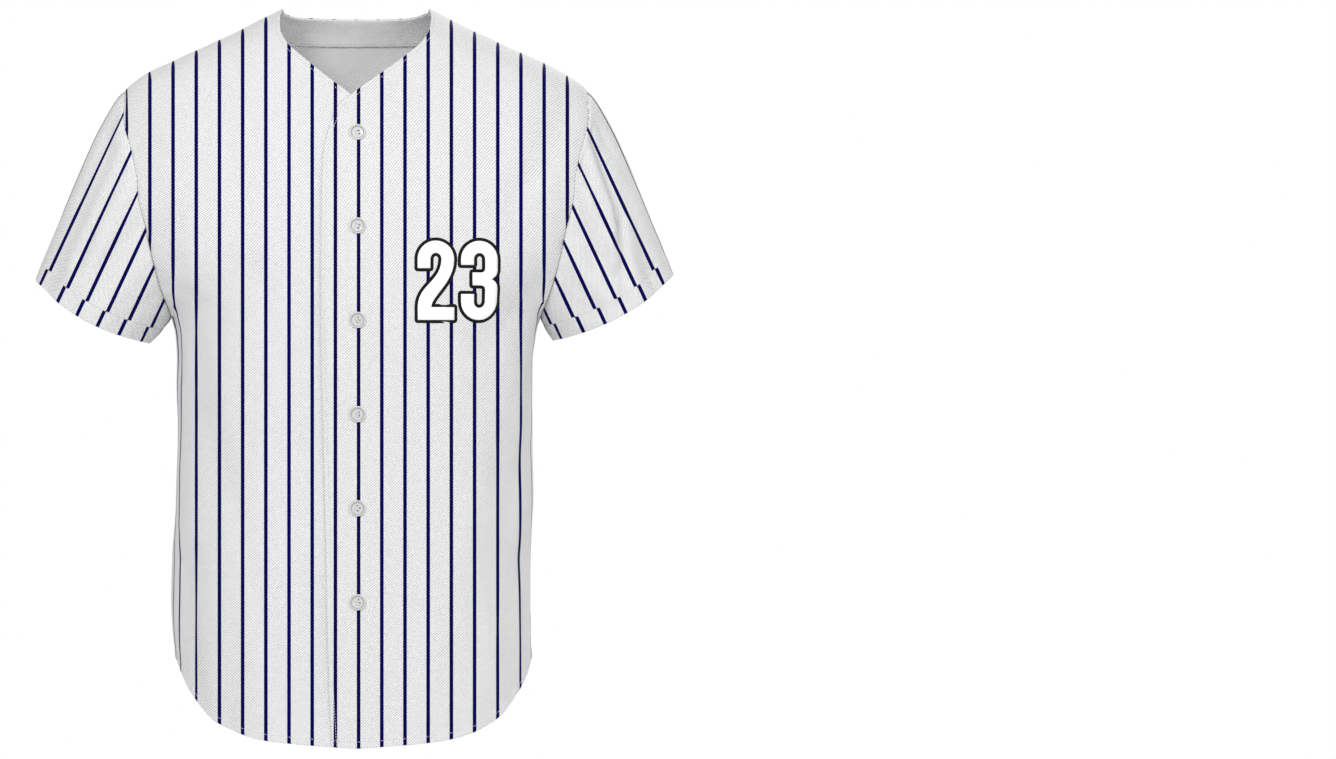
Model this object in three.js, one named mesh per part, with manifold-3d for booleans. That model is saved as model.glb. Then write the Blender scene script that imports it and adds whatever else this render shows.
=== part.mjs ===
// Short-sleeved baseball jersey with a buttoned front, a V neck and a shirt-tail hem, filled out as worn.
// Millimetres. The front faces -Y, +X is the wearer's left and +Z is up. The origin lies midway between
// the two neck-shoulder points, where the wearer's shoulders carry the jersey.

import * as THREE from 'three';
import { mergeVertices } from 'three/addons/utils/BufferGeometryUtils.js';
import Module from 'manifold-3d';

const wasm = await Module();
wasm.setup();

const FRONT = -1;
const BACK = 1;
const LEFT = 1;
const RIGHT = -1;

// Cloth
const CLOTH = 1.6;
const SEAM_GAP = 0.3;
const LAYER_GAP = 0.3;
const HEM_RAISE = 0.5;
const BODY_HEM = 7;
const SLEEVE_HEM = 19;
const HEM_STEP = 0.8;
const MITRE_LIMIT = 2;

// Levels of the body
const SHOULDER_TIP_Z = -90;
const UNDERARM_Z = -337;
const CENTRE_HEM_Z = -794;
const SHOULDER_LEVELS = [0, -5, -14, -26, -40, -56, -72];
const ARMHOLE_STEPS = 14;
const BODY_STEPS = 16;
const BACK_NECK_DROP = 5.5;
const BACK_YOKE_DIP = 10;

// Columns across the panels
const FRONT_COLUMNS = 11;
const BACK_COLUMNS = 22;
const ROW_SAMPLES = 240;

// Horizontal sections of the filled-out body. In the shoulder zone half is the shoulder line's distance out.
const SECTIONS = [
  { z: 0, half: 80, front: 66, back: 72, power: 2 },
  { z: -9, half: 97.5, front: 72, back: 78, power: 2 },
  { z: -23, half: 124.5, front: 78, back: 86, power: 2 },
  { z: -35, half: 149, front: 83, back: 91, power: 2 },
  { z: -45.5, half: 173.5, front: 87, back: 95, power: 2 },
  { z: -58, half: 201, front: 91, back: 99, power: 2 },
  { z: -71, half: 227, front: 95, back: 103, power: 2 },
  { z: -90, half: 252, front: 101, back: 108, power: 2 },
  { z: -140, half: 274, front: 116, back: 120, power: 2.05 },
  { z: -200, half: 278, front: 129, back: 130, power: 2.15 },
  { z: -243, half: 260, front: 135, back: 134, power: 2.25 },
  { z: -284, half: 239, front: 138, back: 134, power: 2.35 },
  { z: -312, half: 219, front: 138.8, back: 133.2, power: 2.4 },
  { z: -337, half: 201, front: 139, back: 132, power: 2.45 },
  { z: -356, half: 195.5, front: 138.8, back: 130.8, power: 2.48 },
  { z: -385, half: 193.2, front: 138, back: 129, power: 2.5 },
  { z: -450, half: 193, front: 136, back: 126.5, power: 2.5 },
  { z: -560, half: 194.5, front: 133, back: 127, power: 2.5 },
  { z: -640, half: 195.5, front: 131, back: 129, power: 2.5 },
  { z: -720, half: 192, front: 129, back: 129, power: 2.5 },
  { z: -800, half: 187, front: 127, back: 128, power: 2.5 },
];

// Shirt-tail hem: its rise above the centre, by the share of the quarter turn from the centre to the side
const HEM = [
  { share: 1, rise: 92 },
  { share: 0.9, rise: 81 },
  { share: 0.75, rise: 52 },
  { share: 0.585, rise: 26 },
  { share: 0.465, rise: 15 },
  { share: 0.36, rise: 8.5 },
  { share: 0.21, rise: 4 },
  { share: 0, rise: 0 },
];

// How far the body's middle stands off the centre plane, and where the placket's middle line runs
const LEAN = [
  { z: 0, body: 0, placket: 0 },
  { z: -40, body: 0, placket: -2 },
  { z: -101, body: 0, placket: -5 },
  { z: -337, body: 0, placket: -5 },
  { z: -400, body: -2, placket: -5 },
  { z: -450, body: -1, placket: -5 },
  { z: -530, body: -1.5, placket: -5 },
  { z: -600, body: -5, placket: -5 },
  { z: -640, body: -5.5, placket: -5 },
  { z: -720, body: -2.5, placket: -5 },
  { z: -800, body: -1, placket: -5 },
];

// Inner edge of each front from the neck-shoulder point down: distance from the placket's middle line towards
// its own side, and negative where it runs past the middle line as placket or underlap
const FRONT_EDGE = [
  { z: 0, edge: 80 },
  { z: -13, edge: 82.5 },
  { z: -25, edge: 81.5 },
  { z: -40.5, edge: 74 },
  { z: -55, edge: 59 },
  { z: -75, edge: 34 },
  { z: -89, edge: 15.5 },
  { z: -101, edge: 0 },
  { z: -115, edge: -14.5 },
  { z: -171, edge: -29.5 },
  { z: -215, edge: -31 },
  { z: -350, edge: -32 },
  { z: -446, edge: -29.5 },
  { z: -552, edge: -27 },
  { z: -658, edge: -25 },
  { z: -742, edge: -22.5 },
  { z: -794, edge: -19.5 },
];
const OVERLAP_FROM_Z = -110;
const PLACKET_FLAT = 34;
const PLACKET_EASE = 50;
const LAYER_FROM_Z = -50;
const LAYER_FULL_Z = -98;

// Armhole seam: its angle round the section, from the side by way of the front or back
const ARMHOLE = [
  { z: -90, degrees: 0 },
  { z: -93, degrees: 8 },
  { z: -102, degrees: 14.5 },
  { z: -120, degrees: 20.6 },
  { z: -160, degrees: 29.1 },
  { z: -200, degrees: 32.7 },
  { z: -243, degrees: 30.1 },
  { z: -284, degrees: 25.3 },
  { z: -310, degrees: 18.5 },
  { z: -325, degrees: 12.5 },
  { z: -334, degrees: 7 },
  { z: -337, degrees: 0 },
];

// Sleeve openings: the outer and inner ends of each hem, seen from the front
const CUFFS = [
  { side: LEFT, outerX: 344.5, outerZ: -289, innerX: 214.5, innerZ: -361 },
  { side: RIGHT, outerX: -348, outerZ: -295, innerX: -224.5, innerZ: -364 },
];
const CUFF_DEPTH = 152;
const CUFF_FORWARD = 4;
const CUFF_DROP_FRONT = 11;
const CUFF_DROP_BACK = 6;
const SLEEVE_STEPS = 6;
const SLEEVE_BULGE = 7.5;
const SLEEVE_BULGE_SKEW = 0.6;
const SLEEVE_FOLD_FADE = 0.2;
const SLEEVE_LENGTH = 180;

// Largest folds of the body: soft ridges (height above 0) and troughs along a line from one place to another
const BODY_FOLDS = [
  { face: FRONT, fromX: -182, fromZ: -330, toX: -120, toZ: -292, width: 22, height: -5 },
  { face: FRONT, fromX: -188, fromZ: -360, toX: -150, toZ: -520, width: 20, height: -3.5 },
  { face: FRONT, fromX: -180, fromZ: -600, toX: -172, toZ: -760, width: 18, height: -4 },
  { face: FRONT, fromX: 165, fromZ: -480, toX: 150, toZ: -650, width: 24, height: -4.5 },
  { face: FRONT, fromX: 176, fromZ: -600, toX: 168, toZ: -745, width: 18, height: -4 },
  { face: FRONT, fromX: 222, fromZ: -125, toX: 170, toZ: -215, width: 18, height: -3.5 },
  { face: FRONT, fromX: 196, fromZ: -300, toX: 140, toZ: -365, width: 22, height: -4 },
  { face: FRONT, fromX: -62, fromZ: -480, toX: -48, toZ: -760, width: 18, height: -2.5 },
  { face: BACK, fromX: 150, fromZ: -235, toX: 182, toZ: -470, width: 18, height: 4 },
  { face: BACK, fromX: 170, fromZ: -400, toX: 176, toZ: -540, width: 18, height: -5 },
  { face: BACK, fromX: 130, fromZ: -480, toX: 178, toZ: -670, width: 20, height: 4 },
  { face: BACK, fromX: -140, fromZ: -330, toX: -132, toZ: -560, width: 20, height: -5 },
  { face: BACK, fromX: -166, fromZ: -400, toX: -168, toZ: -690, width: 16, height: 4 },
  { face: BACK, fromX: -95, fromZ: -600, toX: -80, toZ: -780, width: 20, height: -4 },
  { face: BACK, fromX: 60, fromZ: -640, toX: 40, toZ: -785, width: 20, height: -3.5 },
];
const SEAM_FADE = 28;

// Largest folds of the sleeves: around is degrees from the top by way of the front, along runs from the
// armhole, 0, to the hem, 1, and width is in millimetres
const SLEEVE_FOLDS = [
  { side: RIGHT, around1: 34, along1: 0.12, around2: 40, along2: 0.95, width: 17, height: -7 },
  { side: RIGHT, around1: 62, along1: 0.1, around2: 66, along2: 0.8, width: 15, height: 3.5 },
  { side: RIGHT, around1: 104, along1: 0.1, around2: 86, along2: 0.75, width: 15, height: -5 },
  { side: RIGHT, around1: 250, along1: 0.1, around2: 292, along2: 0.9, width: 17, height: -6 },
  { side: RIGHT, around1: 215, along1: 0.2, around2: 238, along2: 0.9, width: 15, height: -4 },
  { side: LEFT, around1: 30, along1: 0.1, around2: 44, along2: 0.9, width: 17, height: -8 },
  { side: LEFT, around1: 62, along1: 0.12, around2: 72, along2: 0.95, width: 16, height: 4 },
  { side: LEFT, around1: 96, along1: 0.1, around2: 84, along2: 0.7, width: 14, height: -8 },
  { side: LEFT, around1: 136, along1: 0.15, around2: 112, along2: 0.85, width: 14, height: -6 },
  { side: LEFT, around1: 262, along1: 0.1, around2: 300, along2: 0.9, width: 17, height: -6 },
  { side: LEFT, around1: 222, along1: 0.2, around2: 240, along2: 0.9, width: 15, height: -5 },
];

// Buttons
const BUTTON_COUNT = 6;
const BUTTON_TOP_Z = -142;
const BUTTON_PITCH = 99.5;
const BUTTON_X = 1.5;
const BUTTON_SEAT = 0.4;
const BUTTON_SEGMENTS = 24;
const BUTTON_HOLE_RADIUS = 1;
const BUTTON_HOLE_OFFSET = 1.9;
const BUTTON_HOLE_SIDES = 8;
const BUTTON_DRILL_LENGTH = 10;
const BUTTON_PROFILE = [
  { radius: 0, height: 0 },
  { radius: 7.1, height: 0 },
  { radius: 8.3, height: 0.7 },
  { radius: 8.5, height: 1.8 },
  { radius: 7.8, height: 2.9 },
  { radius: 6.6, height: 3.1 },
  { radius: 5.4, height: 2.3 },
  { radius: 4.6, height: 2 },
  { radius: 0, height: 1.9 },
];

// Strip inside the back neck, on the back's own points
const FACING_CLOTH = 1.2;
const FACING_ROWS = 3;
const FACING_FROM_COLUMN = 2;

// Steps for slopes and the distance at which points are one
const SLOPE_STEP = 0.05;
const SEAM_SLOPE_STEP = 0.5;
const SAME_POINT = 1e-4;

const clothMaterial = new THREE.MeshStandardMaterial({ color: 0xebebea, roughness: 0.85, metalness: 0 });
const facingMaterial = new THREE.MeshStandardMaterial({ color: 0xb9b8ba, roughness: 0.9, metalness: 0 });
const buttonMaterial = new THREE.MeshStandardMaterial({ color: 0xf1f0ed, roughness: 0.35, metalness: 0 });

// A smooth curve through one column of a table, with no overshoot; the key column falls from row to row
function curve(rows, column, key = 'z') {
  const at = rows.map((row) => row[key]);
  const value = rows.map((row) => row[column]);
  const slope = at.slice(1).map((z, i) => (value[i + 1] - value[i]) / (z - at[i]));
  const tangent = at.map((_, i) => {
    const before = slope[Math.max(i - 1, 0)];
    const after = slope[Math.min(i, slope.length - 1)];
    return before * after <= 0 ? 0 : (2 * before * after) / (before + after);
  });
  return (z) => {
    const inside = THREE.MathUtils.clamp(z, at.at(-1), at[0]);
    const i = Math.min(at.findLastIndex((row) => inside <= row), slope.length - 1);
    const span = at[i + 1] - at[i];
    const t = (inside - at[i]) / span;
    const ease = t * t * (3 - 2 * t);
    const start = t * (1 - t) ** 2 * span * tangent[i];
    const end = t * t * (t - 1) * span * tangent[i + 1];
    return value[i] + ease * (value[i + 1] - value[i]) + start + end;
  };
}

const half = curve(SECTIONS, 'half');
const frontDepth = curve(SECTIONS, 'front');
const backDepth = curve(SECTIONS, 'back');
const power = curve(SECTIONS, 'power');
const bodyMiddle = curve(LEAN, 'body');
const placketMiddle = curve(LEAN, 'placket');
const frontEdge = curve(FRONT_EDGE, 'edge');
const armholeDegrees = curve(ARMHOLE, 'degrees');
const hemRise = curve(HEM, 'rise', 'share');
const SIDE_HEM_Z = CENTRE_HEM_Z + hemRise(1);

function depth(face, z) {
  return face === FRONT ? frontDepth(z) : backDepth(z);
}

function smoothstep(low, high, value) {
  return THREE.MathUtils.smoothstep(value, low, high);
}

// The point of the body's section at an angle from the wearer's left side seam
function sectionPoint(face, theta, z) {
  const x = Math.cos(theta);
  const y = (1 - Math.abs(x) ** power(z)) ** (1 / power(z));
  return new THREE.Vector3(bodyMiddle(z) + half(z) * x, face * depth(face, z) * y, z);
}

function angleAt(x, z) {
  return Math.acos(THREE.MathUtils.clamp((x - bodyMiddle(z)) / half(z), -1, 1));
}

// Outward normal of the plain body, from the slope of its sections
function bodyNormal(face, point) {
  const reach = (x, y, z) =>
    Math.abs((x - bodyMiddle(z)) / half(z)) ** power(z) + Math.abs(y / depth(face, z)) ** power(z);
  const { x, y, z } = point;
  return new THREE.Vector3(
    reach(x + SLOPE_STEP, y, z) - reach(x - SLOPE_STEP, y, z),
    reach(x, y + SLOPE_STEP, z) - reach(x, y - SLOPE_STEP, z),
    reach(x, y, z + SLOPE_STEP) - reach(x, y, z - SLOPE_STEP),
  ).normalize();
}

// Outward normal on a seam in the plane y = 0: the shoulder and side seams
function middleSeamNormal(side, z) {
  const top = Math.min(z + SEAM_SLOPE_STEP, 0);
  const slope = (half(top) - half(top - 2 * SEAM_SLOPE_STEP)) / (2 * SEAM_SLOPE_STEP);
  return new THREE.Vector3(side, 0, -slope).normalize();
}

// Height of a level at an angle: it rises towards the side seams as the hem does
function levelZ(level, theta) {
  const fromCentre = 1 - Math.acos(Math.abs(Math.cos(theta))) / (Math.PI / 2);
  return level.centre + (level.side - level.centre) * (hemRise(fromCentre) / hemRise(1));
}

function backDip(z) {
  return z === 0 ? BACK_NECK_DROP : BACK_YOKE_DIP * (1 - z / SHOULDER_TIP_Z);
}

// Levels from the neck-shoulder point to the hem's edge, shared by all three panels
function panelLevels(face) {
  const levels = SHOULDER_LEVELS.map((z) => ({
    zone: 'shoulder', side: z, centre: face === BACK ? z - backDip(z) : z, raise: 0,
  }));
  armholeLevels().forEach((z) => levels.push({ zone: 'armhole', side: z, centre: z, raise: 0 }));
  const top = BODY_HEM + HEM_STEP;
  for (let step = 1; step <= BODY_STEPS; step += 1) {
    const share = step / BODY_STEPS;
    levels.push({
      zone: 'body',
      side: THREE.MathUtils.lerp(UNDERARM_Z, SIDE_HEM_Z + top, share),
      centre: THREE.MathUtils.lerp(UNDERARM_Z, CENTRE_HEM_Z + top, share),
      raise: 0,
    });
  }
  [BODY_HEM, 0].forEach((up) => levels.push({
    zone: 'body', side: SIDE_HEM_Z + up, centre: CENTRE_HEM_Z + up, raise: HEM_RAISE,
  }));
  return levels;
}

// Levels down the armhole, closer together at its top and bottom, where the seam turns
function armholeLevels() {
  const middle = (SHOULDER_TIP_Z + UNDERARM_Z) / 2;
  const reach = (SHOULDER_TIP_Z - UNDERARM_Z) / 2;
  const turn = Math.PI / ARMHOLE_STEPS;
  return Array.from({ length: ARMHOLE_STEPS + 1 }, (_, i) => middle + reach * Math.cos(turn * i));
}

// Points of one level between two angles, evenly spaced along the cloth
function levelPoints(face, level, fromTheta, toTheta, count) {
  const samples = [];
  const length = [0];
  for (let i = 0; i <= ROW_SAMPLES; i += 1) {
    const theta = THREE.MathUtils.lerp(fromTheta, toTheta, i / ROW_SAMPLES);
    samples.push(sectionPoint(face, theta, levelZ(level, theta)));
    if (i > 0) length.push(length[i - 1] + samples[i].distanceTo(samples[i - 1]));
  }
  const total = length.at(-1);
  if (total === 0) return Array.from({ length: count + 1 }, () => samples[0].clone());
  const points = [];
  for (let i = 0, at = 0; i <= count; i += 1) {
    while (at < ROW_SAMPLES - 1 && length[at + 1] < (total * i) / count) at += 1;
    const share = ((total * i) / count - length[at]) / (length[at + 1] - length[at]);
    points.push(samples[at].clone().lerp(samples[at + 1], THREE.MathUtils.clamp(share, 0, 1)));
  }
  return points;
}

// Angle of a side's outer seam: the shoulder and side seams lie in the middle plane, the armhole off it
function seamAngle(side, offMiddle) {
  return side === LEFT ? offMiddle : Math.PI - offMiddle;
}

function armholeAngle(side, z) {
  return seamAngle(side, THREE.MathUtils.degToRad(armholeDegrees(z)));
}

function outerAngle(level, side) {
  return level.zone === 'armhole' ? armholeAngle(side, level.side) : seamAngle(side, 0);
}

// Distance of a point from a straight line between two places on a face, seen square on
function distanceToLine(x, z, fold) {
  const from = new THREE.Vector3(fold.fromX, 0, fold.fromZ);
  const to = new THREE.Vector3(fold.toX, 0, fold.toZ);
  const line = new THREE.Line3(from, to);
  const point = new THREE.Vector3(x, 0, z);
  return line.closestPointToPoint(point, true, new THREE.Vector3()).distanceTo(point);
}

function foldHeight(face, point) {
  return BODY_FOLDS.filter((fold) => fold.face === face).reduce((sum, fold) => {
    const away = distanceToLine(point.x, point.z, fold) / fold.width;
    return sum + fold.height * Math.exp(-away * away);
  }, 0);
}

// One panel row: plain points, their normals and how far each is moved out
function panelRow(face, level, points, seamColumns, layerRaise) {
  return points.map((point) => {
    const toSeam = Math.min(...seamColumns.map((seam) => point.distanceTo(points[seam])));
    const fade = smoothstep(0, SEAM_FADE, toSeam) * smoothstep(0, SEAM_FADE, Math.abs(point.y));
    const normal = bodyNormal(face, point);
    const out = level.raise + layerRaise(point) + fade * foldHeight(face, point);
    return { point, normal, out };
  });
}

// Armhole seam of one side as a closed ring: from the top down the front and up the back
function armholeRing(side) {
  const levels = armholeLevels();
  const at = (face, z) => sectionPoint(face, armholeAngle(side, z), z);
  const down = levels.map((z) => at(FRONT, z));
  const up = levels.slice(1, -1).reverse().map((z) => at(BACK, z));
  const ring = [...down, ...up];
  ring[0].y = 0;
  ring[ARMHOLE_STEPS].y = 0;
  return ring;
}

// Share of the way round from the top, 0, by the front to the underarm, 0.5, and by the back to the top, 1
function ringShares(ring) {
  const steps = ring.map((point, i) => point.distanceTo(ring[(i + 1) % ring.length]));
  const front = steps.slice(0, ARMHOLE_STEPS).reduce((a, b) => a + b, 0);
  const back = steps.slice(ARMHOLE_STEPS).reduce((a, b) => a + b, 0);
  let walked = 0;
  return ring.map((_, i) => {
    const share = i <= ARMHOLE_STEPS ? walked / front / 2 : 0.5 + (walked - front) / back / 2;
    walked += steps[i];
    return share;
  });
}

function centroid(points) {
  return points.reduce((sum, point) => sum.add(point), new THREE.Vector3()).divideScalar(points.length);
}

function sleeveFold(side, degrees, along, girth) {
  const toMillimetres = girth / 360;
  return SLEEVE_FOLDS.filter((fold) => fold.side === side).reduce((sum, fold) => {
    const share = THREE.MathUtils.clamp((along - fold.along1) / (fold.along2 - fold.along1), 0, 1);
    const overrun = Math.abs(along - THREE.MathUtils.lerp(fold.along1, fold.along2, share)) * SLEEVE_LENGTH;
    const across = (degrees - THREE.MathUtils.lerp(fold.around1, fold.around2, share)) * toMillimetres;
    const away = Math.hypot(across, overrun) / fold.width;
    return sum + fold.height * Math.exp(-away * away);
  }, 0);
}

// A sleeve as rings of points, from the armhole to the hem's edge
function sleeveGrid(cuff) {
  const ring = armholeRing(cuff.side);
  const shares = ringShares(ring);
  const outer = new THREE.Vector3(cuff.outerX, -CUFF_FORWARD, cuff.outerZ);
  const inner = new THREE.Vector3(cuff.innerX, -CUFF_FORWARD, cuff.innerZ);
  const middle = outer.clone().add(inner).multiplyScalar(0.5);
  const reach = outer.clone().sub(inner).multiplyScalar(0.5);
  const down = new THREE.Vector3(0, cuff.side, 0).cross(reach).normalize();
  const opening = shares.map((share) => {
    const angle = share * 2 * Math.PI;
    const forward = Math.sin(angle);
    const drop = (forward > 0 ? CUFF_DROP_FRONT : CUFF_DROP_BACK) * forward * forward;
    const point = middle.clone().addScaledVector(reach, Math.cos(angle)).addScaledVector(down, drop);
    point.y -= (CUFF_DEPTH / 2) * forward;
    return point;
  });
  const girth = 2 * (reach.length() + CUFF_DEPTH / 2) * (Math.PI / 2);
  const start = centroid(ring);
  const axis = middle.clone().sub(start).normalize();
  const longest = Math.max(...ring.map((point, i) => point.distanceTo(opening[i])));
  const rows = [];
  for (let row = 0; row <= SLEEVE_STEPS + 2; row += 1) {
    rows.push(ring.map((from, i) => {
      const length = from.distanceTo(opening[i]);
      const hemTop = 1 - (SLEEVE_HEM + HEM_STEP) / length;
      const hemStart = 1 - SLEEVE_HEM / length;
      const hemRow = row - SLEEVE_STEPS - 1;
      const along = hemRow < 0 ? (hemTop * row) / SLEEVE_STEPS : [hemStart, 1][hemRow];
      const point = from.clone().lerp(opening[i], along);
      const centre = start.clone().lerp(middle, along);
      const radial = point.clone().sub(centre);
      radial.addScaledVector(axis, -radial.dot(axis)).normalize();
      const bulge = SLEEVE_BULGE * Math.sin(Math.PI * along ** SLEEVE_BULGE_SKEW);
      point.addScaledVector(radial, bulge * (length / longest));
      const fade = smoothstep(0, SLEEVE_FOLD_FADE, along) * (length / longest);
      const raise = row > SLEEVE_STEPS ? HEM_RAISE : 0;
      return { point, radial, out: raise + fade * sleeveFold(cuff.side, shares[i] * 360, along, girth) };
    }));
  }
  ringNormals(rows);
  return rows;
}

// Normals of a tube of rings, from the points beside each one
function ringNormals(rows) {
  rows.forEach((row, r) => row.forEach((cell, c) => {
    const before = rows[Math.max(r - 1, 0)][c].point;
    const after = rows[Math.min(r + 1, rows.length - 1)][c].point;
    const along = after.clone().sub(before);
    const around = row[(c + 1) % row.length].point.clone().sub(row[(c + row.length - 1) % row.length].point);
    cell.normal = along.cross(around).normalize();
    if (cell.normal.dot(cell.radial) < 0) cell.normal.negate();
  }));
}

// Where panel and sleeve meet: the shared direction of the cut edge, and the way across the seam
function armholeSeam(cuff, sleeve) {
  return sleeve[0].map((cell, i) => {
    const face = i <= ARMHOLE_STEPS ? FRONT : BACK;
    const onMiddle = i === 0 || i === ARMHOLE_STEPS;
    const body = onMiddle ? middleSeamNormal(cuff.side, cell.point.z) : bodyNormal(face, cell.point);
    const sleeveNormal = cell.normal.clone();
    if (onMiddle) sleeveNormal.setY(0).normalize();
    const sum = body.clone().add(sleeveNormal);
    const mitre = Math.min(MITRE_LIMIT, 2 / sum.length());
    const wall = sum.normalize();
    const tangent = sleeve[0][(i + 1) % sleeve[0].length].point.clone()
      .sub(sleeve[0][(i + sleeve[0].length - 1) % sleeve[0].length].point);
    const across = tangent.cross(wall).normalize();
    if (across.dot(sleeve[1][i].point.clone().sub(cell.point)) < 0) across.negate();
    return { wall: wall.multiplyScalar(mitre), across };
  });
}

// A closed wall between outer points and the same points moved in
function wallGeometry(rows, thickness, closed) {
  const position = [];
  const index = [];
  const columns = rows[0].length;
  const add = (v) => position.push(v.x, v.y, v.z) / 3 - 1;
  const outer = rows.map((row) => row.map((cell) => add(cell.outer)));
  const movedIn = (cell) => cell.outer.clone().addScaledVector(cell.wall, -thickness);
  const inner = rows.map((row) => row.map((cell) => add(movedIn(cell))));
  const quad = (a, b, c, d) => index.push(a, b, c, a, c, d);
  const spans = closed ? columns : columns - 1;
  for (let r = 0; r < rows.length - 1; r += 1) {
    for (let c = 0; c < spans; c += 1) {
      const next = (c + 1) % columns;
      quad(outer[r][c], outer[r + 1][c], outer[r + 1][next], outer[r][next]);
      quad(inner[r][c], inner[r][next], inner[r + 1][next], inner[r + 1][c]);
    }
    if (!closed) {
      const last = columns - 1;
      quad(outer[r][0], inner[r][0], inner[r + 1][0], outer[r + 1][0]);
      quad(outer[r][last], outer[r + 1][last], inner[r + 1][last], inner[r][last]);
    }
  }
  const bottom = rows.length - 1;
  for (let c = 0; c < spans; c += 1) {
    const next = (c + 1) % columns;
    quad(outer[0][c], outer[0][next], inner[0][next], inner[0][c]);
    quad(outer[bottom][c], inner[bottom][c], inner[bottom][next], outer[bottom][next]);
  }
  return closedGeometry(position, index);
}

// Merges equal points, drops the triangles that this flattens and turns the faces outwards
function closedGeometry(position, index) {
  const loose = new THREE.BufferGeometry();
  loose.setAttribute('position', new THREE.Float32BufferAttribute(position, 3));
  loose.setIndex(index);
  const merged = mergeVertices(loose, SAME_POINT);
  const at = (i) => new THREE.Vector3().fromBufferAttribute(merged.attributes.position, i);
  const kept = [];
  let volume = 0;
  for (let i = 0; i < merged.index.count; i += 3) {
    const [a, b, c] = [0, 1, 2].map((step) => merged.index.getX(i + step));
    if (a === b || b === c || c === a) continue;
    kept.push(a, b, c);
    volume += at(a).dot(at(b).cross(at(c)));
  }
  if (volume < 0) kept.reverse();
  merged.setIndex(kept);
  merged.computeVertexNormals();
  return merged;
}

function piece(name, geometry, material) {
  const mesh = new THREE.Mesh(geometry, material);
  mesh.name = name;
  return mesh;
}

// Sets the cut edge of a panel row: on an armhole its shared direction, elsewhere the plane of the seam
function setSeamEdge(cell, face, side, level, row, seams) {
  const seamIndex = row - SHOULDER_LEVELS.length;
  if (level.zone === 'armhole') {
    const count = seams[side].length;
    const seam = seams[side][face === FRONT ? seamIndex : (count - seamIndex) % count];
    cell.wall = seam.wall.clone();
    cell.outer.addScaledVector(seam.across, -SEAM_GAP / 2);
  } else {
    cell.wall = middleSeamNormal(side, level.side);
    cell.outer.copy(cell.point).addScaledVector(cell.wall, level.raise);
  }
  if (Math.abs(cell.point.y) < SEAM_GAP) cell.outer.y = (face * SEAM_GAP) / 2;
}

function finishCells(row) {
  row.forEach((cell) => {
    cell.outer = cell.point.clone().addScaledVector(cell.normal, cell.out);
    cell.wall = cell.normal.clone();
  });
}

// The top front stands out by one layer where it lies on the other front
function layerRaiseOf(side) {
  return (point) => {
    if (side === RIGHT) return 0;
    const fromMiddle = point.x - placketMiddle(point.z);
    const across = 1 - smoothstep(PLACKET_FLAT, PLACKET_FLAT + PLACKET_EASE, fromMiddle);
    const down = smoothstep(-LAYER_FROM_Z, -LAYER_FULL_Z, -point.z);
    return (CLOTH + LAYER_GAP) * across * down;
  };
}

// Points of a front's row: below the V the placket's edge, middle line and mirrored edge each get a column
function frontPoints(side, level) {
  const middle = placketMiddle(level.centre);
  const edge = frontEdge(level.centre);
  const outer = outerAngle(level, side);
  const angle = (offset) => angleAt(middle + side * offset, level.centre);
  if (level.centre > OVERLAP_FROM_Z) return levelPoints(FRONT, level, angle(edge), outer, FRONT_COLUMNS);
  const placket = [edge, 0].map((offset) => {
    const theta = angle(offset);
    return sectionPoint(FRONT, theta, levelZ(level, theta));
  });
  return [...placket, ...levelPoints(FRONT, level, angle(-edge), outer, FRONT_COLUMNS - 2)];
}

function frontPanel(name, side, seams) {
  const levels = panelLevels(FRONT);
  const rows = levels.map((level, r) => {
    const row = panelRow(FRONT, level, frontPoints(side, level), [FRONT_COLUMNS], layerRaiseOf(side));
    finishCells(row);
    if (r === 0) row.forEach((cell) => setSeamEdge(cell, FRONT, side, level, r, seams));
    setSeamEdge(row.at(-1), FRONT, side, level, r, seams);
    return row;
  });
  return piece(name, wallGeometry(rows, CLOTH, false), clothMaterial);
}

function backRows(seams) {
  return panelLevels(BACK).map((level, r) => {
    const from = outerAngle(level, RIGHT);
    const to = outerAngle(level, LEFT);
    const points = levelPoints(BACK, level, from, to, BACK_COLUMNS);
    const row = panelRow(BACK, level, points, [0, BACK_COLUMNS], () => 0);
    finishCells(row);
    setSeamEdge(row[0], BACK, RIGHT, level, r, seams);
    setSeamEdge(row.at(-1), BACK, LEFT, level, r, seams);
    return row;
  });
}

function backFacing(rows) {
  const strip = rows
    .slice(0, FACING_ROWS + 1)
    .map((row) => row.slice(FACING_FROM_COLUMN, -FACING_FROM_COLUMN));
  strip.forEach((row) => row.forEach((cell) => cell.outer.addScaledVector(cell.wall, -CLOTH - LAYER_GAP)));
  return piece('back_neck_facing', wallGeometry(strip, FACING_CLOTH, false), facingMaterial);
}

function sleevePiece(name, grid, seam) {
  grid.forEach((row) => finishCells(row));
  grid[0].forEach((cell, i) => {
    cell.outer.copy(cell.point).addScaledVector(seam[i].across, SEAM_GAP / 2);
    cell.wall = seam[i].wall.clone();
  });
  return piece(name, wallGeometry(grid, CLOTH, true), clothMaterial);
}

function asSolid(geometry) {
  const bare = geometry.clone();
  bare.deleteAttribute('normal');
  bare.deleteAttribute('uv');
  const merged = mergeVertices(bare, SAME_POINT);
  return new wasm.Manifold(new wasm.Mesh({
    numProp: 3,
    vertProperties: new Float32Array(merged.attributes.position.array),
    triVerts: new Uint32Array(merged.index.array),
  }));
}

function asGeometry(solid) {
  const mesh = solid.getMesh();
  const geometry = new THREE.BufferGeometry();
  geometry.setAttribute('position', new THREE.BufferAttribute(mesh.vertProperties, 3));
  geometry.setIndex(new THREE.BufferAttribute(mesh.triVerts, 1));
  geometry.computeVertexNormals();
  return geometry;
}

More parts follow.
